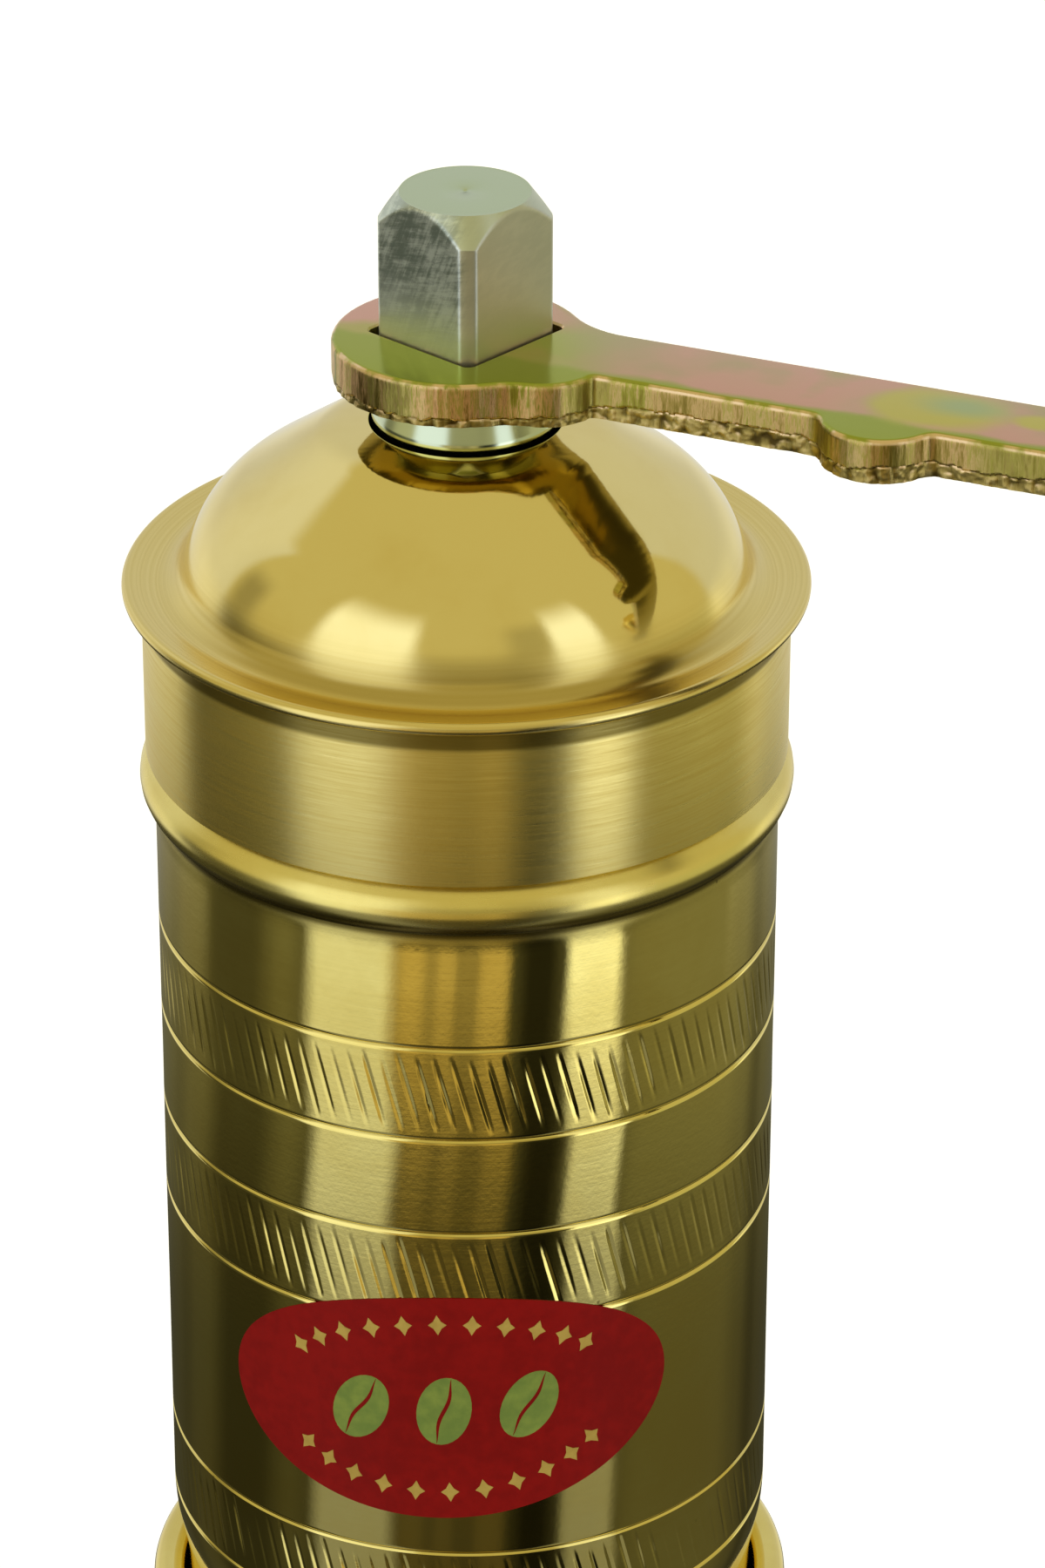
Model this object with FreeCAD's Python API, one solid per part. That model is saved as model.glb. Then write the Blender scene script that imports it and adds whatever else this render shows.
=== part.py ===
import FreeCAD, Part
import math
import os

V = FreeCAD.Vector
UP = V(0, 0, 1)

# Brass tube of the mill, sizes in millimetres
tube_r = 24.0
tube_wall = 1.0
body_height = 74.35
bead_out = 1.13
bead_round = 1.9
bead_foot_round = 0.3
spigot_step = 1.0
spigot_length = 20.0
swage_above_rim = 3.9
swage_height = 5.0
swage_round = 15.0
neck_under_flange = 1.6

# Engraved lines that border the knurled bands
line_depth = 0.25
line_half_width = 0.32
first_line_drop = 11.75
band_height = 7.85
plain_height = 8.2
low_band_height = 6.9
low_line_rise = 10.6

# Cup that catches the grounds
cup_height = 78.4
cup_wall = 0.9
rim_round = 1.35
stop_groove = 0.8
stop_round = 0.8
cup_line_drop = 26.0
cup_band_height = 7.8
cup_low_line_rise = 12.7
foot_overhang = 2.2
foot_height = 2.4
foot_round = 0.9
base_floor = 1.6
plug_height = 4.0
plug_wall = 1.2

# Lid
skirt_proud = 0.65
skirt_wall = 0.8
skirt_height = 12.7
lid_wall = 1.0
lid_rim_overhang = 1.3
flange_width = 2.75
flange_rise = 0.6
flare_round = 2.2
dome_height = 13.3
shoulder_in = 1.66
shoulder_drop = 7.3
shoulder_round = 11.5
crown_land = 3.2
crown_round = 6.2

# Clearances
slide_gap = 0.25
seat_gap = 0.2
bead_gap = 0.3
running_gap = 0.05
solder_gap = 0.05
press_gap = 0.02

# Shaft
rod_r = 4.0
collar_step = 0.55
collar_length = 13.0
collar_show = 3.65
square_flats = 10.0
square_corner_cut = 0.62
square_show = 11.0
square_top_step = 0.1
square_chamfer_drop = 2.1
square_turn = 25.1

# Burrs
ring_height = 18.0
ring_relief = 3.0
burr_land = 4.85
throat_step = 3.7
throat_height = 12.5
mouth_wall = 1.75
ring_tooth_depth = 0.9
ring_teeth = 36
ring_tooth_lean = 0.25
mouth_flutes = 9
mouth_flute_lean = 0.4
mouth_twist = 35.0
cutter_past = 1.0
burr_gap = 0.5
waist_gap = 1.4
cone_top_step = 1.2
cone_over_ring = 2.0
cone_tooth_depth = 1.0
cone_teeth = 32
cone_tooth_lean = 0.75
cone_skirt_height = 4.6
flute_depth = 3.0
flute_top_depth = 1.5
flutes = 8
flute_lean = 0.7
flute_twist = 70.0
tooth_twist = 8.0
hub_wall = 3.0
hub_height = 8.0
burr_pin_r = 1.5

# Spring over the cone burr and its seats
washer_thick = 1.2
wire_r = 0.7
spring_clear = 1.7
spring_length = 28.0
spring_turns = 6
end_turn_pitch = 2.1
seat_lip = 0.5

# Strip across the tube with the guide bush
strip_side = 1.9
strip_thick = 2.0
strip_bend = 0.6
ear_height = 9.0
bush_wall = 1.6
bush_flange = 1.6
bush_below = 4.0
bush_above = 3.0

# Bar under the ring burr and the grind adjuster
bar_width = 12.0
bar_thick = 3.0
boss_wall = 2.5
boss_height = 5.5
screw_r = 1.2
screw_head_r = 1.9
screw_head_height = 1.6
screw_length = 5.0
slot_width = 0.6
slot_depth = 0.7
ball_r = 2.5
shaft_below_cone = 1.0
ball_socket_depth = 2.8
stem_r = 3.5
star_drop = 2.3
star_height = 6.0
star_lobes = 5
lobe_r = 3.2
lobe_circle_r = 9.3
star_valley_r = 7.6
star_edge = 0.9

# Crank arm, blanked from plate, and its knob
arm_thick = 3.5
arm_width = 8.0
arm_side = 0.4
arm_reach = 110.0
arm_edge = 0.45
eye_wall = 2.1
eye_side = 1.2
eye_fillet = 7.0
lobe_in = 1.7
lobe_side = 3.6
arm_lobe_r = 4.2
lobe_fillet = 5.0
notch_round = 0.5
knuckle_x = 33.8
knuckle_side = 2.9
knuckle_r = 4.5
knuckle_fillet = 1.2
end_r = 7.0
end_fillet = 5.0
hole_corner = 0.6
pin_r = 2.75
pin_head_r = 4.2
pin_head_height = 1.4
knob_washer_thick = 0.8
knob_height = 24.0
knob_base_r = 6.4
knob_base_height = 2.4
knob_base_round = 0.7
knob_neck_r = 4.9
knob_neck_height = 4.6
knob_neck_round = 2.0
knob_belly_r = 10.0
knob_belly_height = 15.5
knob_belly_round = 7.0
knob_lip = 1.6
knob_lip_round = 0.8
knob_sink = 2.4

# Lengths and parameters closer than this count as the same
TINY = 1e-6

# Heights above the table
z_rim = cup_height
z_bead = z_rim + body_height
z_swage = z_rim + swage_above_rim
z_spigot = z_swage - spigot_length

# Radii that follow from the tube
tube_in = tube_r - tube_wall
spigot_r = tube_r - spigot_step
spigot_in = spigot_r - tube_wall
cup_in = spigot_r + slide_gap
cup_r = cup_in + cup_wall
skirt_r = tube_r + skirt_proud
skirt_in = skirt_r - skirt_wall
neck_r = skirt_in - slide_gap
dome_r = skirt_r - flange_width
shoulder_r = dome_r - shoulder_in
lid_edge_r = skirt_r + lid_rim_overhang - lid_wall / 2

# Radii along the shaft
square_corner_r = square_flats / math.sqrt(2) - square_corner_cut
square_top_r = square_flats / 2 - square_top_step
collar_r = square_corner_r + collar_step
bush_r = rod_r + bush_wall
strip_width = 2 * (bush_r + strip_side)
coil_r = rod_r + spring_clear + wire_r
seat_flange_r = coil_r + wire_r + seat_lip
hub_r = rod_r + hub_wall
boss_r = stem_r + boss_wall
hole_flats = square_flats + 2 * slide_gap
eye_r = hole_flats / math.sqrt(2) + eye_wall
lobe_x = eye_r - lobe_in

# Radii of the burrs
ring_r = spigot_in - solder_gap
ring_low_r = ring_r - burr_land
relief_r = ring_low_r + ring_tooth_depth
throat_r = ring_low_r - throat_step
mouth_r = ring_r - mouth_wall
cone_waist_r = throat_r - waist_gap
cone_top_r = hub_r + cone_top_step
screw_circle_r = (relief_r + ring_r) / 2

# A bead has straight flanks at 45 degrees and a round crest
CREST = math.sqrt(2) - 1
bead_corner = bead_out + bead_round * CREST

# The lid's skirt stops just above the bead's upper flank
z_skirt = z_bead + bead_corner + tube_r - skirt_in + bead_gap
# The flange rises from the dome's foot to the rim and rests on the skirt's inner edge
flange_slope = flange_rise / (lid_edge_r - dome_r)
flange_drop = lid_wall * math.hypot(1, flange_slope) - flange_slope * (skirt_in - dome_r)
z_flange = z_skirt + skirt_height + solder_gap + flange_drop
z_neck = z_flange + dome_height
z_arm = z_neck + collar_show
z_arm_top = z_arm + arm_thick
z_top = z_arm_top + square_show

# Burrs and their adjuster hang from the tube's lower end
z_ring = z_spigot
z_cone = z_ring + ring_relief
z_throat = z_ring + throat_height
z_ring_top = z_ring + ring_height
z_cone_top = z_ring_top + cone_over_ring
z_hub_top = z_cone_top + hub_height
z_washer_top = z_hub_top + washer_thick
z_bush = z_washer_top + spring_length
z_strip = z_bush + bush_flange + bush_below
z_bar = z_ring - bar_thick
z_boss = z_bar - boss_height
z_star_top = z_boss - star_drop
z_shaft = z_cone - shaft_below_cone
z_ball = z_shaft + ball_socket_depth - running_gap - ball_r
z_stem_top = z_ball - ball_r - running_gap
z_knob = knob_washer_thick + seat_gap


def line(a, b):
    return Part.makeLine(V(a[0], 0, a[1]), V(b[0], 0, b[1]))


def arc(a, mid, b):
    return Part.Arc(V(a[0], 0, a[1]), V(mid[0], 0, mid[1]), V(b[0], 0, b[1])).toShape()


def unit(a, b):
    length = math.hypot(b[0] - a[0], b[1] - a[1])
    return (b[0] - a[0]) / length, (b[1] - a[1]) / length


def corner_reach(points):
    """Length that each corner's arc takes from its two runs, limited by what the runs have."""
    runs = [math.dist(a[:2], b[:2]) for a, b in zip(points, points[1:])]
    reach = [0.0] * len(points)
    for i in range(1, len(points) - 1):
        reach[i] = points[i][2] * math.tan(turn_angle(*points[i - 1:i + 2]) / 2)
    room = [min(1.0, run / max(reach[i] + reach[i + 1], TINY)) for i, run in enumerate(runs)]
    last = len(room) - 1
    return [length * min(room[max(i - 1, 0)], room[min(i, last)]) for i, length in enumerate(reach)]


def turn_angle(before, corner, after):
    a = unit(before, corner)
    b = unit(corner, after)
    return math.acos(max(-1.0, min(1.0, a[0] * b[0] + a[1] * b[1])))


def rounded_path(points):
    """Edges through points (r, z, corner radius), each corner rounded by a tangent arc."""
    edges = []
    here = points[0][:2]
    reaches = corner_reach(points)
    for i in range(1, len(points) - 1):
        before, corner, after = points[i - 1:i + 2]
        reach = reaches[i]
        start = end = corner[:2]
        if reach > TINY:
            a = unit(corner, before)
            b = unit(corner, after)
            start = (corner[0] + a[0] * reach, corner[1] + a[1] * reach)
            end = (corner[0] + b[0] * reach, corner[1] + b[1] * reach)
        if math.dist(here, start) > TINY:
            edges.append(line(here, start))
        if reach > TINY:
            half = turn_angle(before, corner, after) / 2
            inward = unit((0, 0), (a[0] + b[0], a[1] + b[1]))
            depth = reach / math.tan(half) * (1 / math.cos(half) - 1)
            edges.append(arc(start, (corner[0] + inward[0] * depth, corner[1] + inward[1] * depth), end))
        here = end
    edges.append(line(here, points[-1]))
    return edges


def inner_points(points, wall):
    """The sheet's other face: the path moved to its left by the wall, with radii to match."""
    moved = []
    steps = [unit(a, b) for a, b in zip(points, points[1:])]
    for i, (x, z, radius) in enumerate(points):
        a = steps[max(i - 1, 0)]
        b = steps[min(i, len(steps) - 1)]
        scale = wall / (1 + a[0] * b[0] + a[1] * b[1])
        left_turn = a[0] * b[1] - a[1] * b[0] > 0
        inner = radius - wall if left_turn else radius + wall
        inner = max(inner, 0) if radius > 0 else 0
        moved.append((x - (a[1] + b[1]) * scale, z + (a[0] + b[0]) * scale, inner))
    return moved


def revolve(edges):
    return Part.Face(Part.Wire(edges)).revolve(V(0, 0, 0), UP, 360)


def turned(points):
    """Solid of revolution from a closed outline of points (r, z, corner radius)."""
    first, last = points[0], points[-1]
    start = ((first[0] + last[0]) / 2, (first[1] + last[1]) / 2, 0)
    return revolve(rounded_path([start] + points + [start]))


def sheet_ends(outer, inner):
    return line(outer[-1], inner[-1]), line(inner[0], outer[0])


def ring(r_out, r_in, z, height):
    return turned([(r_in, z, 0), (r_out, z, 0), (r_out, z + height, 0), (r_in, z + height, 0)])


def rod(r, z, height, x=0.0, y=0.0):
    return Part.makeCylinder(r, height, V(x, y, z), UP)


def engraved(r, heights):
    """V-section rings to cut from a wall of radius r."""
    return [turned([(r - line_depth, z, 0), (r + line_depth, z - 2 * line_half_width, 0),
                    (r + line_depth, z + 2 * line_half_width, 0)]) for z in heights]


def bow(r, z, radius, start, end):
    """Arc about (r, z) from one angle in degrees to another."""

    def at(degrees):
        angle = math.radians(degrees)
        return r + radius * math.cos(angle), z + radius * math.sin(angle)

    return arc(at(start), at((start + end) / 2), at(end))


def save(name, shape):
    solids = shape.Solids
    shape = solids[0] if len(solids) == 1 else Part.makeCompound(solids)
    print(f"{name:14s} solids {len(solids)} valid {shape.isValid()} volume {shape.Volume:9.2f}")
    shape.exportStep(f"parts/{name}.step")


def make_cup_shell():
    dent = stop_groove + stop_round * CREST
    z_stop = z_spigot - seat_gap - dent
    join = z_rim - math.sqrt(rim_round ** 2 - (rim_round - cup_wall) ** 2)
    outer = [(cup_r, foot_height, 0), (cup_r, z_stop - dent, bead_foot_round),
             (cup_r - dent, z_stop, stop_round), (cup_r, z_stop + dent, bead_foot_round), (cup_r, join, 0)]
    inner = inner_points(outer, cup_wall)
    inner[-1] = (cup_in, z_rim, 0)
    roll_r = cup_in + rim_round
    roll_start = -math.degrees(math.acos(cup_wall / rim_round - 1))
    roll = [bow(roll_r, z_rim, rim_round, roll_start, 0), bow(roll_r, z_rim, rim_round, 0, 180)]
    shell = revolve(rounded_path(outer) + roll + rounded_path(inner[::-1]) + [line(inner[0], outer[0])])
    first = z_rim - cup_line_drop
    low_line = foot_height + cup_low_line_rise
    heights = [first, first - cup_band_height, low_line + cup_band_height, low_line]
    return shell.cut(engraved(cup_r, heights))


def make_cup_base():
    foot_r = cup_r + foot_overhang
    plug_r = cup_in - solder_gap
    return revolve(rounded_path([
        (0, 0, 0), (foot_r, 0, foot_round), (foot_r, foot_height, foot_round), (plug_r, foot_height, 0),
        (plug_r, foot_height + plug_height, 0), (plug_r - plug_wall, foot_height + plug_height, 0),
        (plug_r - plug_wall, base_floor, plug_wall), (0, base_floor, 0), (0, 0, 0)]))


def make_body_tube():
    neck_foot = z_bead + bead_corner + tube_r - neck_r
    outer = [(spigot_r, z_spigot, 0), (spigot_r, z_swage, swage_round),
             (tube_r, z_swage + swage_height, swage_round), (tube_r, z_bead - bead_corner, bead_foot_round),
             (tube_r + bead_corner, z_bead, bead_round), (neck_r, neck_foot, bead_foot_round),
             (neck_r, z_skirt + skirt_height - neck_under_flange, 0)]
    inner = inner_points(outer, tube_wall)
    top, bottom = sheet_ends(outer, inner)
    tube = revolve(rounded_path(outer) + [top] + rounded_path(inner[::-1]) + [bottom])
    l1 = z_bead - first_line_drop
    l2 = l1 - band_height
    l3 = l2 - plain_height
    l4 = l3 - band_height
    l6 = z_rim + low_line_rise
    l5 = l6 + low_band_height
    return tube.cut(engraved(tube_r, [l1, l2, l3, l4, l5, l6]))


def make_lid_dome():
    hole_r = collar_r + slide_gap
    outer = [(lid_edge_r, z_flange + flange_rise, 0), (dome_r, z_flange, flare_round),
             (shoulder_r, z_neck - shoulder_drop, shoulder_round), (hole_r + crown_land, z_neck, crown_round),
             (hole_r, z_neck, 0)]
    inner = inner_points(outer, lid_wall)
    outward = unit(outer[1], outer[0])
    rim = [(outer[0][k] + inner[0][k] + outward[k] * lid_wall) / 2 for k in range(2)]
    top = line(outer[-1], inner[-1])
    return revolve(rounded_path(outer) + [top] + rounded_path(inner[::-1]) + [arc(inner[0], rim, outer[0])])


def make_lid_skirt():
    return ring(skirt_r, skirt_in, z_skirt, skirt_height)


def make_drive_shaft():
    z_collar = z_arm - collar_length
    body = turned([(0, z_shaft, 0), (rod_r, z_shaft, 0), (rod_r, z_collar, 0), (collar_r, z_collar, 0),
                   (collar_r, z_arm, 0), (0, z_arm, 0)])
    z_chamfer = z_top - square_chamfer_drop
    blank = turned([(0, z_arm, 0), (square_corner_r, z_arm, 0), (square_corner_r, z_chamfer, 0),
                    (square_top_r, z_top, 0), (0, z_top, 0)])
    square = square_prism(square_flats, z_arm, z_top - z_arm)
    socket = rod(ball_r + 2 * running_gap, z_shaft, ball_socket_depth)
    pin_hole = cross_pin(burr_pin_r + press_gap, rod_r + press_gap)
    return body.fuse(blank.common(square)).removeSplitter().cut([socket, pin_hole])


def square_prism(flats, z, height):
    box = Part.makeBox(flats, flats, height, V(-flats / 2, -flats / 2, z))
    box.rotate(V(0, 0, 0), UP, square_turn + 45)
    return box


def cross_pin(r, half_length):
    return Part.makeCylinder(r, 2 * half_length, V(0, -half_length, z_cone_top + hub_height / 2), V(0, 1, 0))


def toothed_wire(z, tip_r, root_r, count, turn, lean):
    """Closed saw-tooth outline at height z, two points to a tooth."""
    step = 2 * math.pi / count
    points = []
    for i in range(count):
        for r, share in ((root_r, 0.0), (tip_r, lean)):
            angle = (i + share) * step + math.radians(turn)
            points.append(V(r * math.cos(angle), r * math.sin(angle), z))
    return Part.makePolygon(points + points[:1])


def toothed(sections, count, lean):
    """Ruled loft through saw-tooth outlines given as (z, tip radius, root radius, turn)."""
    wires = [toothed_wire(z, tip_r, root_r, count, turn, lean) for z, tip_r, root_r, turn in sections]
    return Part.makeLoft(wires, True, True)


def make_cone_burr():
    low_r = ring_low_r - burr_gap
    slope = (low_r - cone_waist_r) / (z_throat - z_cone)
    z_skirt_top = z_cone + cone_skirt_height
    skirt_top_r = low_r - slope * cone_skirt_height
    skirt = toothed([(z_cone, low_r, low_r - cone_tooth_depth, 0),
                     (z_skirt_top, skirt_top_r, skirt_top_r - cone_tooth_depth, tooth_twist)],
                    cone_teeth, cone_tooth_lean)
    sections = []
    for z, r in ((z_skirt_top, skirt_top_r), (z_throat, cone_waist_r), (z_cone_top, cone_top_r)):
        share = (z - z_skirt_top) / (z_cone_top - z_skirt_top)
        depth = flute_depth + share * (flute_top_depth - flute_depth)
        sections.append((z, r, r - depth, share * flute_twist))
    breaker = toothed(sections, flutes, flute_lean)
    hub = rod(hub_r, z_skirt_top, z_hub_top - z_skirt_top)
    bore = rod(rod_r + press_gap, z_cone, z_hub_top - z_cone)
    return skirt.fuse([breaker, hub]).cut([bore, cross_pin(burr_pin_r + press_gap, cone_top_r)])


def make_ring_burr():
    slope = (ring_low_r - throat_r) / (z_throat - z_cone)
    blank = rod(ring_r, z_ring, ring_height)
    relief = rod(relief_r, z_ring, ring_relief)
    low_r = ring_low_r + slope * cutter_past
    teeth = toothed([(z_cone - cutter_past, low_r, low_r + ring_tooth_depth, 0),
                     (z_throat, throat_r, throat_r + ring_tooth_depth, -tooth_twist)],
                    ring_teeth, ring_tooth_lean)
    flare = (mouth_r - throat_r) / (z_ring_top - z_throat)
    top_r = mouth_r + flare * cutter_past
    mouth = toothed([(z_throat, throat_r, throat_r + ring_tooth_depth, 0),
                     (z_ring_top + cutter_past, top_r - ring_tooth_depth, top_r, mouth_twist)],
                    mouth_flutes, mouth_flute_lean)
    burr = blank.cut([relief, teeth, mouth])
    holes = [rod(screw_r + press_gap, z_ring, screw_length, side * screw_circle_r) for side in (-1, 1)]
    return burr.cut(holes)


def make_spring():
    """One unbroken wire: close end turns, open middle turns, laid on biarcs of half a turn."""
    low = z_washer_top + running_gap + wire_r
    travel = spring_length - 2 * (running_gap + wire_r)
    open_pitch = (travel - 2 * end_turn_pitch) / (spring_turns - 2)

    def height(turn):
        if turn <= 1:
            return end_turn_pitch * turn
        if turn >= spring_turns - 1:
            return travel - end_turn_pitch * (spring_turns - turn)
        return end_turn_pitch + open_pitch * (turn - 1)

    def pitch(turn):
        if turn < 1 or turn > spring_turns - 1:
            return end_turn_pitch
        if turn in (1, spring_turns - 1):
            return (end_turn_pitch + open_pitch) / 2
        return open_pitch

    def station(turn):
        angle = 2 * math.pi * turn
        place = V(coil_r * math.cos(angle), coil_r * math.sin(angle), low + height(turn))
        heading = V(-math.sin(angle), math.cos(angle), pitch(turn) / (2 * math.pi * coil_r))
        return place, heading.normalize()

    turns = [i / 2 for i in range(2 * spring_turns + 1)]
    edges = []
    for a, b in zip(turns, turns[1:]):
        edges.extend(biarc(*station(a), *station(b)))
    start, heading = station(0)
    section = Part.Wire(Part.makeCircle(wire_r, start, heading))
    spring = Part.Wire(edges).makePipeShell([section], True, False)
    print(f"burr_spring least gap {coil_gap(edges):.2f}")
    return spring


def biarc(a, ta, b, tb):
    """Two tangent arcs from a, heading ta, to b, heading tb."""
    chord = b - a
    spread = 2 * (1 - ta.dot(tb))
    along = chord.dot(ta + tb)
    leg = (math.sqrt(along ** 2 + spread * chord.dot(chord)) - along) / spread
    joint = (a + b + (ta - tb) * leg) * 0.5
    return [corner_arc(a, a + ta * leg, joint), corner_arc(joint, b - tb * leg, b)]


def corner_arc(a, corner, b):
    mid = (a + b) * 0.5
    leg = (corner - a).Length
    axis = mid - corner
    cosine = axis.Length / leg
    radius = leg * math.tan(math.acos(cosine))
    return Part.Arc(a, corner + axis.normalize() * (leg / cosine - radius), b).toShape()


def coil_gap(edges):
    """Least free space between wire stretches that are over half a turn apart."""
    per_arc = 12
    points = []
    for edge in edges:
        points.extend(edge.discretize(per_arc + 1)[:-1])
    apart = len(points) // (2 * spring_turns)
    least = min((p - q).Length for i, p in enumerate(points) for q in points[i + apart:])
    return least - 2 * wire_r


def make_upper_bridge():
    out_r = tube_in - solder_gap
    in_r = out_r - strip_thick
    z_low = z_strip - ear_height
    z_high = z_strip + strip_thick
    cap = revolve(rounded_path([
        (0, z_high, 0), (0, z_strip, 0), (in_r, z_strip, strip_bend), (in_r, z_low, 0), (out_r, z_low, 0),
        (out_r, z_high, strip_bend + strip_thick), (0, z_high, 0)]))
    band = Part.makeBox(2 * out_r, strip_width, ear_height + strip_thick, V(-out_r, -strip_width / 2, z_low))
    return cap.common(band).cut(rod(bush_r + press_gap, z_low, ear_height + strip_thick))


def make_guide_bush():
    bore = rod_r + running_gap
    top = z_strip + strip_thick + bush_above
    z_step = z_bush + bush_flange
    return turned([(bore, z_bush, 0), (seat_flange_r, z_bush, 0), (seat_flange_r, z_step, 0),
                   (bush_r, z_step, 0), (bush_r, top, 0), (bore, top, 0)])


def make_lower_bridge():
    bar = rod(ring_r, z_bar, bar_thick).common(
        Part.makeBox(2 * ring_r, bar_width, bar_thick, V(-ring_r, -bar_width / 2, z_bar)))
    boss = rod(boss_r, z_boss, boss_height)
    bore = rod(stem_r + running_gap, z_boss, boss_height + bar_thick)
    holes = [rod(screw_r + running_gap, z_bar, bar_thick, side * screw_circle_r) for side in (-1, 1)]
    return bar.fuse(boss).removeSplitter().cut([bore] + holes)


def make_bridge_screws():
    screws = []
    for side in (-1, 1):
        x = side * screw_circle_r
        head = rod(screw_head_r, z_bar - screw_head_height, screw_head_height, x)
        shank = rod(screw_r, z_bar, bar_thick + screw_length, x)
        slot = Part.makeBox(2 * screw_head_r, slot_width, slot_depth,
                            V(x - screw_head_r, -slot_width / 2, z_bar - screw_head_height))
        screws.append(head.fuse(shank).removeSplitter().cut(slot))
    return Part.makeCompound(screws)


def make_adjust_stem():
    z_low = z_star_top - star_height
    return rod(stem_r, z_low, z_stem_top - z_low)


def make_adjust_star():
    """Finger wheel: round lobes joined by tangent hollow arcs."""
    half = math.pi / star_lobes
    c = lobe_circle_r
    v = star_valley_r
    hollow = ((lobe_r ** 2 - c ** 2 - v ** 2 + 2 * c * v * math.cos(half))
              / (2 * (v - c * math.cos(half) - lobe_r)))
    ratio = lobe_r / (lobe_r + hollow)
    z_low = z_star_top - star_height

    def at(r, angle):
        return V(r * math.cos(angle), r * math.sin(angle), z_low)

    def touch(angle, side):
        lobe = at(c, angle)
        return lobe + (at(v + hollow, angle + side * half) - lobe) * ratio

    edges = []
    for i in range(star_lobes):
        angle = 2 * half * i
        edges.append(Part.Arc(touch(angle, -1), at(c + lobe_r, angle), touch(angle, 1)).toShape())
        edges.append(Part.Arc(touch(angle, 1), at(v, angle + half), touch(angle + 2 * half, -1)).toShape())
    wheel = Part.Face(Part.Wire(edges)).extrude(V(0, 0, star_height))
    ends = [e for e in wheel.Edges if e.BoundBox.ZLength < TINY]
    return wheel.makeChamfer(star_edge, ends).cut(rod(stem_r + press_gap, z_low, star_height))


def round_upright(shape, spots):
    """Round the upright edges that stand at the given spots (x, y, radius)."""
    for x, y, radius in spots:
        upright = [e for e in shape.Edges if e.BoundBox.ZLength > arm_thick / 2]
        nearest = min(upright, key=lambda e: math.hypot(e.CenterOfMass.x - x, e.CenterOfMass.y - y))
        shape = shape.makeFillet(radius, [nearest])
    return shape


def make_crank_arm():
    z = z_arm + running_gap
    near = -arm_width / 2 - arm_side
    far = arm_width / 2 - arm_side
    bar = Part.makeBox(arm_reach, arm_width, arm_thick, V(0, near, z))
    eye = rod(eye_r, z, arm_thick, 0, -eye_side)
    lobe = rod(arm_lobe_r, z, arm_thick, lobe_x, -lobe_side)
    knuckle = rod(knuckle_r, z, arm_thick, knuckle_x, -knuckle_side)
    end = rod(end_r, z, arm_thick, arm_reach, -arm_side)
    plate = bar.fuse([eye, lobe, knuckle, end]).removeSplitter()

    def crossing(r, centre_side, edge):
        return math.sqrt(r ** 2 - (edge + centre_side) ** 2)

    apart = math.hypot(lobe_x, lobe_side - eye_side)
    along = (eye_r ** 2 - arm_lobe_r ** 2 + apart ** 2) / (2 * apart)
    across = math.sqrt(eye_r ** 2 - along ** 2)
    heading = (lobe_x / apart, (eye_side - lobe_side) / apart)
    meet_x = along * heading[0] + across * heading[1]
    meet_y = along * heading[1] - across * heading[0] - eye_side
    span = crossing(knuckle_r, knuckle_side, near)
    end_span = crossing(end_r, arm_side, far)
    plate = round_upright(plate, [
        (crossing(eye_r, eye_side, far), far, eye_fillet), (meet_x, meet_y, lobe_fillet),
        (lobe_x + crossing(arm_lobe_r, lobe_side, near), near, notch_round),
        (knuckle_x - span, near, knuckle_fillet), (knuckle_x + span, near, knuckle_fillet),
        (arm_reach - end_span, near, end_fillet), (arm_reach - end_span, far, end_fillet)])
    z_face = z + arm_thick
    top = [e for e in plate.Edges if z_face - e.BoundBox.ZMin < TINY]
    plate = plate.makeFillet(arm_edge, top)
    hole = square_prism(hole_flats, z, arm_thick)
    hole = hole.makeFillet(hole_corner, [e for e in hole.Edges if e.BoundBox.ZLength > arm_thick / 2])
    return plate.cut([hole, rod(pin_r + press_gap, z, arm_thick, arm_reach, -arm_side)])


def at_knob(shape):
    return shape.translated(V(arm_reach, -arm_side, z_arm_top + running_gap))


def make_knob_pin():
    top = z_knob + knob_height - knob_sink + seat_gap
    return at_knob(turned([
        (0, -arm_thick - pin_head_height, 0), (pin_head_r, -arm_thick - pin_head_height, pin_head_height / 2),
        (pin_head_r, -arm_thick, 0), (pin_r, -arm_thick, 0), (pin_r, top, 0), (pin_head_r, top, 0),
        (pin_head_r, top + pin_head_height, pin_head_height / 2), (0, top + pin_head_height, 0)]))


def make_knob_washer():
    return at_knob(ring(knob_base_r, pin_r + running_gap, 0, knob_washer_thick))


def make_crank_knob():
    bore = pin_r + running_gap
    sink_r = pin_head_r + slide_gap
    top = z_knob + knob_height
    return at_knob(turned([
        (bore, z_knob, 0), (knob_base_r, z_knob, knob_base_round),
        (knob_base_r, z_knob + knob_base_height, knob_base_round),
        (knob_neck_r, z_knob + knob_neck_height, knob_neck_round),
        (knob_belly_r, z_knob + knob_belly_height, knob_belly_round),
        (sink_r + knob_lip, top, knob_lip_round), (sink_r, top, 0), (sink_r, top - knob_sink, 0),
        (bore, top - knob_sink, 0)]))


def make_thrust_ball():
    return Part.makeSphere(ball_r, V(0, 0, z_ball))


def make_burr_pin():
    return cross_pin(burr_pin_r, hub_r)


def make_spring_washer():
    return ring(seat_flange_r, rod_r + running_gap, z_hub_top, washer_thick)


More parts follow.
